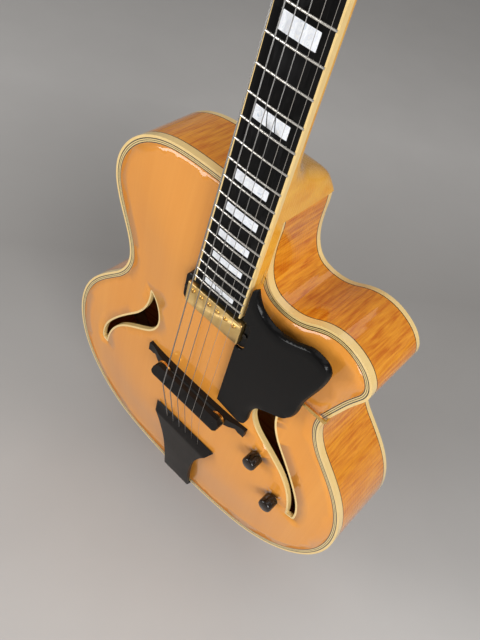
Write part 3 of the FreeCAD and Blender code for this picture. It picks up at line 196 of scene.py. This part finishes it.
def spruceTop():
    p = Paint("honeySpruce", lacquer)
    rings = p.noise(spruceSet["rings"], detail=2.0, matched=True)
    bands = p.noise(spruceSet["bands"], detail=2.0, matched=True)
    glow = p.noise(spruceSet["patches"], detail=2.0)
    hair = p.noise(spruceSet["hairs"], detail=2.0)
    wood = p.mix(bands, spruceSet["dark"], spruceSet["light"])
    wood = p.mix(rings * spruceSet["ringShare"], wood, spruceSet["ring"])
    wood = p.mix(glow * spruceSet["glowShare"], wood, spruceSet["glow"])
    gloss = spruceSet["rough"] + hair * spruceSet["hairRough"]
    return p.put(colour=wood, roughness=gloss, normal=p.bump(rings, *spruceSet["bump"]))


# Flame runs across the grain in short broken ripples, strong in some places and faint in others
flameSet = {"fine": 2.3, "patches": 0.06, "warp": 0.35, "fineWarp": 0.4, "fineShare": 0.3, "faintest": 0.35,
            "bands": ((0.36, 0.0), (0.49, 0.55), (0.62, 1.0)), "poreShare": 0.3, "rough": 0.22,
            "poreRough": 0.1, "bump": (0.03, 0.0003)}
mapleSet = {
    "sideMaple": {"flame": (330, 30, 330), "grain": (20, 640, 20), "dark": tint(188, 90, 8),
                  "light": tint(250, 172, 48)},
    "backMaple": {"flame": (20, 20, 240), "grain": (640, 30, 16), "dark": tint(196, 110, 34),
                  "light": tint(240, 172, 80), "turn": (0, 0.18, 0), "matched": True},
    "neckMaple": {"flame": (30, 30, 60), "grain": (520, 520, 12), "dark": tint(228, 152, 40),
                  "light": tint(248, 190, 74)},
}


def flamedMaple(p, flame, grain, dark, light, turn=(0, 0, 0), matched=False):
    fineFlame = [flameSet["fine"] * share for share in flame]
    patches = [flameSet["patches"] * share for share in flame]
    curl = p.noise(flame, 2.0, turn, flameSet["warp"], matched)
    fine = p.noise(fineFlame, 2.0, turn, flameSet["fineWarp"], matched)
    strength = p.noise(patches, 1.0, turn, 0.0, matched)
    pores = p.noise(grain, 3.0, turn, 0.0, matched)
    ripple = curl * (1 - flameSet["fineShare"]) + fine * flameSet["fineShare"]
    band = p.ramp(ripple, [(place, grey(level)) for place, level in flameSet["bands"]])
    middle = [(first + second) / 2 for first, second in zip(dark, light)]
    shown = flameSet["faintest"] + strength * (1 - flameSet["faintest"])
    wood = p.mix(shown, middle, p.mix(band, dark, light))
    wood = p.mix(pores * flameSet["poreShare"], wood, dark)
    return wood, p.bump(curl, *flameSet["bump"]), flameSet["rough"] + pores * flameSet["poreRough"]


def plainFlame(name):
    p = Paint(name, lacquer)
    wood, ripple, gloss = flamedMaple(p, **mapleSet[name])
    return p.put(colour=wood, roughness=gloss, normal=ripple)


# The sides carry a thin black line along each binding, and one where the cutaway's wall meets the heel.
# The back falls 34 mm over the body's length
sideSet = {"front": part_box("sides")[0].y, "backAtTail": 59.5 * mm, "backSlope": 34 / 467.5, "line": 0.8 * mm,
           "seam": 465.9 * mm}


def sideMaple():
    p = Paint("sideMaple", lacquer)
    wood, ripple, gloss = flamedMaple(p, **mapleSet["sideMaple"])
    x, y, z = p.place()
    fromBack = sideSet["backAtTail"] - z * sideSet["backSlope"] - y
    fromEdge = p.math("MINIMUM", y - sideSet["front"], fromBack)
    lines = p.math("LESS_THAN", fromEdge, sideSet["line"])
    atHeel = p.math("GREATER_THAN", z, sideSet["seam"]) * p.math("GREATER_THAN", x, 0.0)
    wood = p.mix(p.math("MAXIMUM", lines, atHeel), wood, blackLine)
    return p.put(colour=wood, roughness=gloss, normal=ripple)


creamSet = {"dark": tint(236, 200, 128), "light": tint(246, 216, 150), "layer": tint(226, 186, 110),
            "ages": (60, 60, 60), "layers": (30, 700, 30), "layerShare": 0.25, "rough": 0.28,
            "ageRough": 0.08}


def creamPlastic():
    p = Paint("creamBinding", polishedPlastic)
    age = p.noise(creamSet["ages"])
    layer = p.noise(creamSet["layers"], detail=2.0)
    cream = p.mix(age, creamSet["dark"], creamSet["light"])
    cream = p.mix(layer * creamSet["layerShare"], cream, creamSet["layer"])
    return p.put(colour=cream, roughness=creamSet["rough"] + age * creamSet["ageRough"])


ebonySet = {"streaks": (260, 260, 14), "pores": (1500, 1500, 160), "rubs": (24, 24, 24), "rubRough": 0.14,
            "poreRough": 0.05, "bump": (0.08, 0.0001)}


def ebony(name, dark, light, rough, fixed):
    p = Paint(name, fixed)
    streak = p.noise(ebonySet["streaks"])
    pore = p.noise(ebonySet["pores"], detail=2.0)
    rub = p.noise(ebonySet["rubs"], detail=4.0)
    gloss = rough + rub * ebonySet["rubRough"] + pore * ebonySet["poreRough"]
    return p.put(colour=p.mix(streak, dark, light), roughness=gloss, normal=p.bump(pore, *ebonySet["bump"]))


pearlSet = {"swirls": (150, 150, 100), "warp": 2.2, "rough": 0.18, "swirlRough": 0.14,
            "bands": [(0.28, tint(206, 216, 228)), (0.42, tint(248, 250, 252)), (0.55, tint(228, 232, 240)),
                      (0.7, tint(252, 250, 244))]}


def pearl():
    p = Paint("pearl", polishedShell)
    swirl = p.noise(pearlSet["swirls"], detail=4.0, warp=pearlSet["warp"])
    shine = p.ramp(swirl, pearlSet["bands"])
    return p.put(colour=shine, roughness=pearlSet["rough"] + swirl * pearlSet["swirlRough"])


metalSet = {"brushed": (2600, 300, 300), "alongCover": (1800, 300, 60), "patches": (110, 110, 110),
            "wear": 0.6, "brushRough": 0.12, "patchRough": 0.08, "bump": (0.06, 0.00005)}


def metal(name, colour, worn, rough, brushing="brushed"):
    p = Paint(name, bareMetal)
    brush = p.noise(metalSet[brushing], detail=2.0)
    patch = p.noise(metalSet["patches"], detail=4.0)
    gloss = rough + brush * metalSet["brushRough"] + patch * metalSet["patchRough"]
    return p.put(colour=p.mix(patch * metalSet["wear"], colour, worn), roughness=gloss,
                 normal=p.bump(brush, *metalSet["bump"]))


# The wound wire is darker in the grooves between its turns and lighter on their crests: painted shade and
# painted light that follow the bump
wireSet = {"dark": tint(120, 119, 118), "light": tint(192, 190, 187), "turns": 420.0, "rough": 0.32,
           "turnRough": 0.1, "bump": (0.5, 0.0002)}


def woundWire():
    p = Paint("woundWire", bareMetal)
    where = p.spot((1, 1, 1), (0, 0, 0), False)
    turns = p.node("ShaderNodeTexWave", {"bands_direction": "Z"},
                   {"Vector": where, "Scale": wireSet["turns"], "Distortion": 0.0})
    # mixing by the turns paints shade into the grooves and light onto the crests
    return p.put(colour=p.mix(turns, wireSet["dark"], wireSet["light"]),
                 roughness=wireSet["rough"] + turns * wireSet["turnRough"],
                 normal=p.bump(turns, *wireSet["bump"]))


def speckled(name, fixed, grain, dark, light, rough, grainRough):
    p = Paint(name, fixed)
    fleck = p.noise(grain)
    return p.put(colour=p.mix(fleck, dark, light), roughness=rough + fleck * grainRough)


boneSet = {"grain": (500, 500, 500), "dark": tint(228, 220, 196), "light": tint(242, 236, 218), "rough": 0.36,
           "grainRough": 0.1}
rawWoodSet = {"grain": (300, 60, 14), "dark": tint(150, 108, 62), "light": tint(184, 142, 90), "rough": 0.62,
              "grainRough": 0.1}

# Lines across the purfling strip, from the binding inwards. A vertex within reach is on the binding's side
purflingSet = {"cream": tint(232, 204, 138), "inside": tint(226, 150, 60), "reach": 3.0,
               "edges": (0.0, 0.2, 0.4, 0.52, 0.72, 0.9), "grain": (700, 700, 60), "rough": 0.26,
               "grainRough": 0.06}


def purflingLines():
    p = Paint("purflingLines", lacquerOverLines)
    across = p.node("ShaderNodeAttribute", {"attribute_name": "across"}, {}, "Fac")
    cream = purflingSet["cream"]
    colours = (blackLine, cream, blackLine, cream, blackLine, purflingSet["inside"])
    lines = p.ramp(across, list(zip(purflingSet["edges"], colours)), "CONSTANT")
    grain = p.noise(purflingSet["grain"], detail=2.0)
    return p.put(colour=lines, roughness=purflingSet["rough"] + grain * purflingSet["grainRough"])


dullBlack = {"Specular IOR Level": 0.07}
waxed = {"Coat Weight": 0.08, "Coat Roughness": 0.18, "Specular IOR Level": 0.16}
satin = {"Coat Weight": 0.34, "Coat Roughness": 0.2, "Specular IOR Level": 0.03}
glossy = {"Coat Weight": 0.9, "Coat Roughness": 0.04, "Specular IOR Level": 0.05}
paints = {
    "spruce": spruceTop(),
    "maple": sideMaple(),
    "backMaple": plainFlame("backMaple"),
    "neckMaple": plainFlame("neckMaple"),
    "ebony": ebony("waxedEbony", tint(16, 14, 13), tint(34, 30, 28), 0.36, waxed),
    "boardEbony": ebony("boardEbony", tint(11, 11, 12), tint(22, 21, 21), 0.42, dullBlack),
    "guardEbony": ebony("guardEbony", tint(6, 6, 6), tint(11, 10, 10), 0.3, satin),
    "knobEbony": ebony("knobEbony", tint(18, 11, 7), tint(36, 24, 16), 0.34, glossy),
    "inner_wood": speckled("rawWood", {}, **rawWoodSet),
    "cream_binding": creamPlastic(),
    "purfling": purflingLines(),
    "pearl": pearl(),
    "bone": speckled("bone", polishedBone, **boneSet),
    "nickel": metal("nickel", tint(238, 234, 226), tint(212, 206, 196), 0.16),
    "darkNickel": metal("darkNickel", tint(60, 58, 56), tint(40, 38, 37), 0.3),
    "gold": metal("goldPlate", tint(240, 200, 122), tint(216, 168, 88), 0.16),
    "satinGold": metal("satinGold", tint(238, 204, 138), tint(214, 172, 102), 0.26, "alongCover"),
    "string_steel": woundWire(),
    "plainWire": metal("plainWire", tint(214, 210, 204), tint(182, 176, 168), 0.22),
}
print("paints ready:", len(paints))

# Merging, shading and softening of meshes, in millimetres and degrees
meshSet = {"merge": 0.01, "mergeNew": 0.001, "flat": 1.0, "sharp": 32, "sharpNew": 40, "corner": 40,
           "rounds": 2}


def addObject(name, data):
    made = bpy.data.objects.new(name, data)
    bpy.context.scene.collection.objects.link(made)
    return made


def addPiece(name, mesh, node, paint, rides=True):
    piece = addObject(name, mesh)
    mesh.materials.clear()
    mesh.materials.append(paints[paint])
    if rides:
        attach(piece, bodyOf[node])
    return piece


def openEdges(bm):
    return [edge for edge in bm.edges if edge.is_boundary]


def allParts(bm):
    return bm.verts[:] + bm.edges[:] + bm.faces[:]


def vertsOf(made):
    return [item for item in made["geom"] if isinstance(item, bmesh.types.BMVert)]


def pointTree(points):
    tree = kdtree.KDTree(len(points))
    for index, point in enumerate(points):
        tree.insert(point, index)
    tree.balance()
    return tree


def joinTo(target, bm):
    part = bpy.data.meshes.new("part")
    bm.to_mesh(part)
    bm.free()
    target.from_mesh(part)
    bpy.data.meshes.remove(part)


# A merged copy of a CAD node's mesh, with flat faces whole where its edges are to be softened
def mergedCopy(node, whole):
    bm = bmesh.new()
    bm.from_mesh(frame["nodes"][node].data)
    bmesh.ops.remove_doubles(bm, verts=bm.verts, dist=meshSet["merge"] * mm)
    if whole:
        bmesh.ops.dissolve_limit(bm, angle_limit=math.radians(meshSet["flat"]), verts=bm.verts,
                                 edges=bm.edges)
    return bm


def finishedMesh(name, bm, sharp=meshSet["sharp"]):
    mesh = bpy.data.meshes.new(name)
    bm.to_mesh(mesh)
    bm.free()
    mesh.shade_smooth()
    mesh.set_sharp_from_angle(angle=math.radians(sharp))
    return mesh


def newMesh(name, bm):
    bmesh.ops.remove_doubles(bm, verts=bm.verts, dist=meshSet["mergeNew"] * mm)
    bmesh.ops.recalc_face_normals(bm, faces=bm.faces)
    return finishedMesh(name, bm, meshSet["sharpNew"])


def softenEdges(piece, width, segments):
    edge = piece.modifiers.new("softEdge", "BEVEL")
    edge.width = width * mm
    edge.segments = segments
    edge.limit_method = "ANGLE"
    edge.angle_limit = math.radians(meshSet["corner"])
    edge.harden_normals = True


# A node's own shape, with smooth curves, sharp corners and softened edges
def finishNode(node, paint, soften):
    mesh = finishedMesh(node, mergedCopy(node, soften > 0))
    piece = addPiece(node + "_finish", mesh, node, paint or slotOf[node])
    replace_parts(piece, node)
    if soften:
        softenEdges(piece, soften, meshSet["rounds"])
    return piece


finishes = {  # paint, and the softening of the edges in millimetres
    "back_plate": ("backMaple", 0.0),
    "neck": ("neckMaple", 0.0),
    "fretboard": ("boardEbony", 0.0),
    "headstock_veneer": ("guardEbony", 0.0),
    "knob_volume": ("knobEbony", 0.4),
    "knob_tone": ("knobEbony", 0.4),
    "bridge_saddle": (None, 0.5),
    "pickup_ring": ("guardEbony", 0.3),
    "pickup_cover": ("satinGold", 0.0),
    "pickup_screws": ("darkNickel", 0.2),
    "nut": (None, 0.3),
    "truss_rod_cover": ("guardEbony", 0.3),
}
wheels = ["thumbwheel_bass", "thumbwheel_treble"]
strings = [f"string_{number}" for number in range(1, 7)]
madeBelow = ["frets", "pickup_poles", "heel_cap", "tailpiece", "pickguard"] + wheels + strings
pieces = {}
for node in frame["nodes"]:
    if node not in madeBelow:
        pieces[node] = finishNode(node, *finishes.get(node, (None, 0.0)))
print("nodes finished:", len(pieces))

# The tailpiece's outline is rounded as far as the bend over the rim
tailSet = {"soften": 0.9, "segments": 3, "above": 8.0, "corner": 60}


def roundTailpiece():
    bm = mergedCopy("tailpiece", True)
    outline = [edge for edge in bm.edges if edge.calc_face_angle(0.0) > math.radians(tailSet["corner"])
               and all(vert.co.z > tailSet["above"] * mm for vert in edge.verts)]
    bmesh.ops.bevel(bm, geom=outline, offset=tailSet["soften"] * mm, offset_type="OFFSET", affect="EDGES",
                    segments=tailSet["segments"], profile=0.5, material=-1, clamp_overlap=True)
    mesh = finishedMesh("tailpieceRounded", bm)
    piece = addPiece("tailpiece_rounded", mesh, "tailpiece", slotOf["tailpiece"])
    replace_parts(piece, "tailpiece")


roundTailpiece()

# The guard's upper and outer edge rolls over towards the top. Its straight edges and the notch round the
# pickup stay flat. An edge rolls by how far it faces outward: lead and fade set where that starts and is full
guardSet = {"step": 1.5, "snap": 0.05, "width": 10.0, "drop": 3.6, "notch": 4.0, "outward": (0.7, 0.7),
            "lead": 0.1, "fade": 0.6, "wall": 0.5, "sharp": 55}


def sliceGrid(bm, low, high, step):
    snap = guardSet["snap"] * mm
    for axis in (0, 2):
        across = Vector((axis == 0, 0, axis == 2))
        for index in range(1, int((high - low)[axis] / step) + 1):
            bmesh.ops.bisect_plane(bm, geom=allParts(bm), dist=snap, plane_co=low + across * index * step,
                                   plane_no=across)
    bmesh.ops.remove_doubles(bm, verts=bm.verts, dist=snap)
    bmesh.ops.dissolve_degenerate(bm, edges=bm.edges, dist=snap)
    bmesh.ops.triangulate(bm, faces=bm.faces)


def flatPoint(vert):
    return Vector((vert.co.x, 0, vert.co.z))


def rolledEdge(bm):
    right, up = guardSet["outward"]
    low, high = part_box("pickup_ring")
    notch = guardSet["notch"] * mm
    points = []
    facings = []
    for face in bm.faces:
        middle = face.calc_center_median()
        atRing = middle.x < high.x + notch and low.z - notch < middle.z < high.z + notch
        facing = (face.normal.x * right + face.normal.z * up + guardSet["lead"]) / guardSet["fade"]
        if abs(face.normal.y) < guardSet["wall"] and facing > 0 and not atRing:
            points += [flatPoint(vert) for vert in face.verts]
            facings += [min(facing, 1.0)] * len(face.verts)
    return pointTree(points), facings


def quarterRound(share):
    return 1 - math.sqrt(1 - share ** 2)


def rollGuard():
    bm = mergedCopy("pickguard", False)
    sliceGrid(bm, *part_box("pickguard"), guardSet["step"] * mm)
    tree, facings = rolledEdge(bm)
    width = guardSet["width"] * mm
    for vert in bm.verts:
        near = tree.find_range(flatPoint(vert), width)
        falls = [facings[index] * quarterRound(1 - far / width) for point, index, far in near]
        vert.co.y += guardSet["drop"] * mm * max(falls, default=0.0)
    mesh = finishedMesh("pickguardRolled", bm, guardSet["sharp"])
    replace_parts(addPiece("pickguard_rolled", mesh, "pickguard", "guardEbony"), "pickguard")


rollGuard()


# Purfling lines run round the top at a set share of the strip's width
def markAcross(piece, neighbour, reach):
    tree = pointTree([vertex.co for vertex in neighbour.data.vertices])
    across = piece.data.attributes.new("across", "FLOAT", "POINT")
    for index, vertex in enumerate(piece.data.vertices):
        across.data[index].value = 0.0 if tree.find(vertex.co)[2] < reach else 1.0


markAcross(pieces["top_purfling"], frame["nodes"]["top_binding"], purflingSet["reach"] * mm)
print("tailpiece, guard and purfling made")

# Frets: an oval wire swung across the board's radius, with its lower half in the board
neckSet = {"nut": (0, -36.203, 859.068), "tilt": -2.69, "scale": 647.7, "nutHalf": 22.25, "endHalf": 28.2,
           "length": 492.5, "radius": 406.0}
fretSet = {"count": 24, "width": 2.0, "height": 1.1, "tang": 0.35, "inset": 0.53, "sides": 16, "steps": 10}
neckPlace = Matrix.Translation(neckSet["nut"]) @ Matrix.Rotation(math.radians(neckSet["tilt"]), 4, "X")


def boardHalf(distance):
    return neckSet["nutHalf"] + (neckSet["endHalf"] - neckSet["nutHalf"]) * distance / neckSet["length"]


def bendFrets():
    whole = bmesh.new()
    for number in range(1, fretSet["count"] + 1):
        at = neckSet["scale"] * (1 - 2 ** (-number / 12))  # twelve frets to the octave
        swing = math.asin((boardHalf(at) - fretSet["inset"]) / neckSet["radius"])
        axisPoint = Vector((0, neckSet["radius"], -at))
        wire = bmesh.new()
        made = bmesh.ops.create_circle(wire, segments=fretSet["sides"], radius=1.0,
                                       matrix=Matrix.Rotation(math.radians(90), 4, "Y"))["verts"]
        for vert in made:
            deep = fretSet["tang"] if vert.co.y > 0 else fretSet["height"]
            vert.co = Vector((0, vert.co.y * deep, vert.co.z * fretSet["width"] / 2 - at))
        bmesh.ops.rotate(wire, verts=wire.verts, cent=axisPoint, matrix=Matrix.Rotation(-swing, 3, "Z"))
        bmesh.ops.spin(wire, geom=wire.verts[:] + wire.edges[:], cent=axisPoint, axis=(0, 0, 1),
                       angle=2 * swing, steps=fretSet["steps"])
        bmesh.ops.holes_fill(wire, edges=openEdges(wire))
        joinTo(whole, wire)
    bmesh.ops.transform(whole, verts=whole.verts, matrix=Matrix.Scale(mm, 4) @ neckPlace)
    piece = addPiece("crowned_frets", newMesh("crownedFrets", whole), "frets", "nickel")
    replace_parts(piece, "frets")


bendFrets()

# A string is parted at its crest on the saddle, and each run follows the saddle there and the neck or
# tailpiece beyond. The round is the share of the radius that eases six sides to twelve
stringSet = {"radii": (0.71, 0.57, 0.445, 0.33, 0.216, 0.165), "plain": ("string_5", "string_6"),
             "round": 0.268}


def stringRun(node, radius, name, towardsNut):
    bm = mergedCopy(node, True)
    crest = min(bm.verts, key=lambda vert: vert.co.y).co.copy()
    other = [face for face in bm.faces if (face.calc_center_median().z > crest.z) != towardsNut]
    bmesh.ops.delete(bm, geom=other, context="FACES")
    bmesh.ops.holes_fill(bm, edges=openEdges(bm))
    held = Vector(neckSet["nut"]) * mm if towardsNut else min(bm.verts, key=lambda vert: vert.co.z).co.copy()
    held.x = crest.x
    paint = "plainWire" if node in stringSet["plain"] else slotOf[node]
    piece = addPiece(node + name, finishedMesh(node + name, bm), node, paint, False)
    softenEdges(piece, radius * stringSet["round"], 1)
    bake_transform(piece)
    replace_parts(piece, node)


for node, radius in zip(strings, stringSet["radii"]):
    stringRun(node, radius, "_speaking", True)
    stringRun(node, radius, "_behind", False)

# The heel sweeps from the neck's back down to the body in one round, and its last slice is the cap.
# It is square where it meets the rim, and its stations crowd there
heelSet = {"seam": 467.5, "under": -48.1, "lean": 0.047, "join": 392.0, "shaft": 15.0, "swell": 0.004,
           "reach": 28.5, "fall": 4, "square": 2.2, "corner": 18.0, "cornerFade": 4.0, "flat": 0.0001,
           "back": 30.5, "cap": 2.0, "length": 112.0, "stations": 28, "crowding": 1.6, "sides": 56,
           "cleared": (0.2, 38.0)}


def heelLoop(bm, away):
    share = 1 / (1 + (away / heelSet["reach"]) ** heelSet["fall"])
    under = heelSet["under"] + heelSet["lean"] * away
    half = boardHalf(heelSet["join"] - away)
    shaft = heelSet["shaft"] + heelSet["swell"] * (heelSet["join"] - away)
    depth = shaft + (heelSet["back"] - heelSet["under"] - shaft) * share
    corner = heelSet["corner"] * math.exp(-away / heelSet["cornerFade"])
    power = 2 / (2 + heelSet["square"] * share + corner)
    loop = bmesh.ops.create_circle(bm, segments=heelSet["sides"], radius=1.0)["verts"]
    edges = list({edge for vert in loop for edge in vert.link_edges})
    for vert in loop:
        across, deep = vert.co.x, max(vert.co.y, 0.0)
        if deep > heelSet["flat"]:
            across = math.copysign(abs(across) ** power, across)
        vert.co = Vector((half * across, under + depth * deep ** power, heelSet["seam"] + away))
    return edges


def heelPart(name, keepCap):
    bm = bmesh.new()
    shares = [step / heelSet["stations"] for step in range(heelSet["stations"] + 1)]
    loops = [heelLoop(bm, heelSet["length"] * share ** heelSet["crowding"]) for share in shares]
    for first, second in zip(loops, loops[1:]):
        bmesh.ops.bridge_loops(bm, edges=first + second)
    bmesh.ops.holes_fill(bm, edges=openEdges(bm))
    capTop = (0, heelSet["back"] - heelSet["cap"], heelSet["seam"])
    bmesh.ops.bisect_plane(bm, geom=allParts(bm), plane_co=capTop, plane_no=(0, 1, sideSet["backSlope"]),
                           clear_outer=not keepCap, clear_inner=keepCap)
    bmesh.ops.holes_fill(bm, edges=openEdges(bm))
    bmesh.ops.scale(bm, vec=(mm, mm, mm), verts=bm.verts)
    node = "heel_cap" if keepCap else "neck"
    return addPiece(name, newMesh(name, bm), node, "neckMaple")


def sweepHeel():
    low, high = [(heelSet["seam"] + away) * mm for away in heelSet["cleared"]]
    mesh = pieces["neck"].data
    bm = bmesh.new()
    bm.from_mesh(mesh)
    for level in (low, high):
        bmesh.ops.bisect_plane(bm, geom=allParts(bm), plane_co=(0, 0, level), plane_no=(0, 0, 1))
    between = [face for face in bm.faces if low < face.calc_center_median().z < high]
    bmesh.ops.delete(bm, geom=between, context="FACES")
    bmesh.ops.holes_fill(bm, edges=openEdges(bm))
    bm.to_mesh(mesh)
    bm.free()
    mesh.set_sharp_from_angle(angle=math.radians(meshSet["sharp"]))
    heelPart("heel_sweep", False)
    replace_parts(heelPart("heel_cap_round", True), "heel_cap")


sweepHeel()
print("frets, strings and heel made")

# A domed screw head with a slot, along +Z from its seat. The slot's reach and depth are shares of the radius
# and the dome, and upward tells the dome's faces from the wall's
screwSet = {"around": 28, "rings": 12, "slotReach": 0.9, "slotDepth": 0.8, "upward": 0.3}
toFront = Matrix.Rotation(math.radians(90), 4, "X")  # turns +Z to the front


def screwHead(target, place, sizes):
    radius, wall, dome = sizes["radius"], sizes["wall"], sizes["dome"]
    half = sizes["slot"] / 2
    bm = bmesh.new()
    bmesh.ops.create_uvsphere(bm, u_segments=screwSet["around"], v_segments=screwSet["rings"], radius=1.0)
    bmesh.ops.bisect_plane(bm, geom=allParts(bm), plane_co=(0, 0, 0), plane_no=(0, 0, 1), clear_inner=True)
    bmesh.ops.scale(bm, vec=(radius, radius, dome), verts=bm.verts)
    feet = vertsOf(bmesh.ops.extrude_edge_only(bm, edges=openEdges(bm)))
    bmesh.ops.translate(bm, vec=(0, 0, -wall), verts=feet)
    bmesh.ops.holes_fill(bm, edges=openEdges(bm))
    for side in (-half, half):
        bmesh.ops.bisect_plane(bm, geom=allParts(bm), plane_co=(side, 0, 0), plane_no=(1, 0, 0))
    strip = []
    for face in bm.faces:
        middle = face.calc_center_median()
        inSlot = abs(middle.x) < half and abs(middle.y) < radius * screwSet["slotReach"]
        if inSlot and face.normal.z > screwSet["upward"]:
            strip.append(face)
    sunk = vertsOf(bmesh.ops.extrude_face_region(bm, geom=strip))
    bmesh.ops.delete(bm, geom=strip, context="FACES")
    bmesh.ops.translate(bm, vec=(0, 0, -screwSet["slotDepth"] * dome), verts=sunk)
    bmesh.ops.translate(bm, vec=(0, 0, wall), verts=bm.verts)
    bmesh.ops.transform(bm, matrix=place, verts=bm.verts)
    joinTo(target, bm)


poleSet = {"radius": 2.3, "wall": 0.6, "dome": 0.9, "slot": 0.7, "turns": (20, -35, 65, 5, -60, 40)}


def addPoles():
    low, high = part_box("pickup_poles")
    count = len(poleSet["turns"])
    first, last = low.x / mm + poleSet["radius"], high.x / mm - poleSet["radius"]
    whole = bmesh.new()
    for index, turn in enumerate(poleSet["turns"]):
        x = first + (last - first) * index / (count - 1)
        place = Matrix.Translation((x, high.y / mm, (low.z + high.z) / 2 / mm)) @ toFront
        screwHead(whole, place @ Matrix.Rotation(math.radians(turn), 4, "Z"), poleSet)
    bmesh.ops.scale(whole, vec=(mm, mm, mm), verts=whole.verts)
    piece = addPiece("slotted_poles", newMesh("slottedPoles", whole), "pickup_poles", "gold")
    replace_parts(piece, "pickup_poles")


addPoles()

# Three screws hold the truss rod's cover to the head
headSet = {"step": (0, 6.5, 5.0), "tilt": -14.0, "veneer": 2.0, "cover": 1.8, "coverFoot": 2.0}
coverSet = {"radius": 2.0, "wall": 0.3, "dome": 0.8, "slot": 0.6,
            "spots": ((-8.0, 6.0), (8.0, 6.0), (0, 28.0))}


def addCoverScrews():
    headTurn = Matrix.Rotation(math.radians(headSet["tilt"]), 4, "X")
    head = neckPlace @ Matrix.Translation(headSet["step"]) @ headTurn
    whole = bmesh.new()
    for x, along in coverSet["spots"]:
        spot = Matrix.Translation((x, -headSet["veneer"] - headSet["cover"], headSet["coverFoot"] + along))
        screwHead(whole, head @ spot @ toFront, coverSet)
    bmesh.ops.scale(whole, vec=(mm, mm, mm), verts=whole.verts)
    addPiece("cover_screws", newMesh("coverScrews", whole), "truss_rod_cover", "gold")


addCoverScrews()

# Thumbwheels with a notched rim: half of each notch's points are drawn in
wheelSet = {"notches": 44, "points": 4, "depth": 0.5, "bore": 2.1}


def cutWheel(node):
    low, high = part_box(node)
    radius = (high.x - low.x) / 2 / mm
    points = wheelSet["points"]
    around = wheelSet["notches"] * points
    bm = bmesh.new()
    rim = bmesh.ops.create_circle(bm, segments=around, radius=radius)["verts"]
    bmesh.ops.create_circle(bm, segments=around, radius=wheelSet["bore"])
    for index, vert in enumerate(rim):
        if index % points < points / 2:
            vert.co *= 1 - wheelSet["depth"] / radius
    ring = bmesh.ops.bridge_loops(bm, edges=bm.edges[:])["faces"]
    raised = vertsOf(bmesh.ops.extrude_face_region(bm, geom=ring, use_keep_orig=True))
    bmesh.ops.translate(bm, vec=(0, 0, (high.y - low.y) / mm), verts=raised)
    place = Matrix.Translation(((low.x + high.x) / 2 / mm, high.y / mm, (low.z + high.z) / 2 / mm)) @ toFront
    bmesh.ops.transform(bm, matrix=Matrix.Scale(mm, 4) @ place, verts=bm.verts)
    piece = addPiece(node + "_notched", newMesh(node + "Notched", bm), node, "gold")
    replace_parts(piece, node)


for node in wheels:
    cutWheel(node)
print("screws and thumbwheels made")

# Camera, floor and light
cameraSet = {"place": (0.20345, -0.37266, 0.78551), "turn": (39.193, -11.680, 43.013), "lens": 36.178,
             "sensor": 36.0, "nearest": 0.01}


def setCamera():
    camera = addObject("photoCamera", bpy.data.cameras.new("photoCamera"))
    camera.location = cameraSet["place"]
    camera.rotation_euler = Euler([math.radians(turn) for turn in cameraSet["turn"]])
    camera.data.lens = cameraSet["lens"]
    camera.data.sensor_width = cameraSet["sensor"]
    camera.data.clip_start = cameraSet["nearest"]
    bpy.context.scene.camera = camera


# The floor's colour is painted light and shade in tones that run away from the camera: light near it, a
# painted shadow band further off, lighter again beyond; each a little warm
floorSet = {"gap": 0.07, "size": 14.0, "away": (-0.68, 0.73), "near": -0.3, "span": 2.0, "warm": 3,
            "tones": ((0.05, 198), (0.15, 186), (0.22, 172), (0.36, 157), (0.62, 192), (0.95, 182)),
            "speckle": tint(120, 117, 114), "speckles": (9, 9, 9), "speckleShare": 0.12, "rough": 0.7,
            "speckleRough": 0.1, "sheen": {"Specular IOR Level": 0.2}}


def floorPaint():
    p = Paint("studioFloor", floorSet["sheen"])
    x, y = p.place()[:2]
    warm = floorSet["warm"]
    away = x * floorSet["away"][0] + y * floorSet["away"][1]
    tones = [(place, tint(tone, tone - warm, tone - 2 * warm)) for place, tone in floorSet["tones"]]
    # fade carries the floor's painted light and painted shade by distance from the camera
    fade = p.ramp((away - floorSet["near"]) * (1 / floorSet["span"]), tones)
    speckle = p.noise(floorSet["speckles"], detail=5.0)
    return p.put(colour=p.mix(speckle * floorSet["speckleShare"], fade, floorSet["speckle"]),
                 roughness=floorSet["rough"] + speckle * floorSet["speckleRough"])


def layFloor():
    mesh = bpy.data.meshes.new("studioFloor")
    bm = bmesh.new()
    bmesh.ops.create_grid(bm, x_segments=1, y_segments=1, size=floorSet["size"] / 2,
                          matrix=Matrix.Translation((0, 0, cadBox[0].z - floorSet["gap"])))
    bm.to_mesh(mesh)
    bm.free()
    mesh.materials.append(floorPaint())
    floor = addObject("studioFloor", mesh)


lamps = {
    "leftBox": {"place": (-1.6, -1.6, 1.1), "size": 1.2, "power": 30},
    "rightBox": {"place": (1.8, -1.2, 1.2), "size": 1.2, "power": 42},
    "roofBox": {"place": (0.2, 0.5, 2.6), "size": 2.4, "power": 16},
}
lampAim = Vector((0, 0, 0.25))
worldLevel = 0.24


def hangLamps():
    for name, lamp in lamps.items():
        light = bpy.data.lights.new(name, "AREA")
        light.size = lamp["size"]
        light.energy = lamp["power"]
        holder = addObject(name, light)
        holder.location = lamp["place"]
        holder.rotation_euler = (lampAim - holder.location).to_track_quat("-Z", "Y").to_euler()
    world = bpy.data.worlds.new("studio")
    world.use_nodes = True
    world.node_tree.nodes["Background"].inputs["Color"].default_value = grey(1.0)
    world.node_tree.nodes["Background"].inputs["Strength"].default_value = worldLevel
    bpy.context.scene.world = world


setCamera()
layFloor()
hangLamps()
bpy.context.scene.view_settings.view_transform = "Standard"
print("camera, floor and light set")
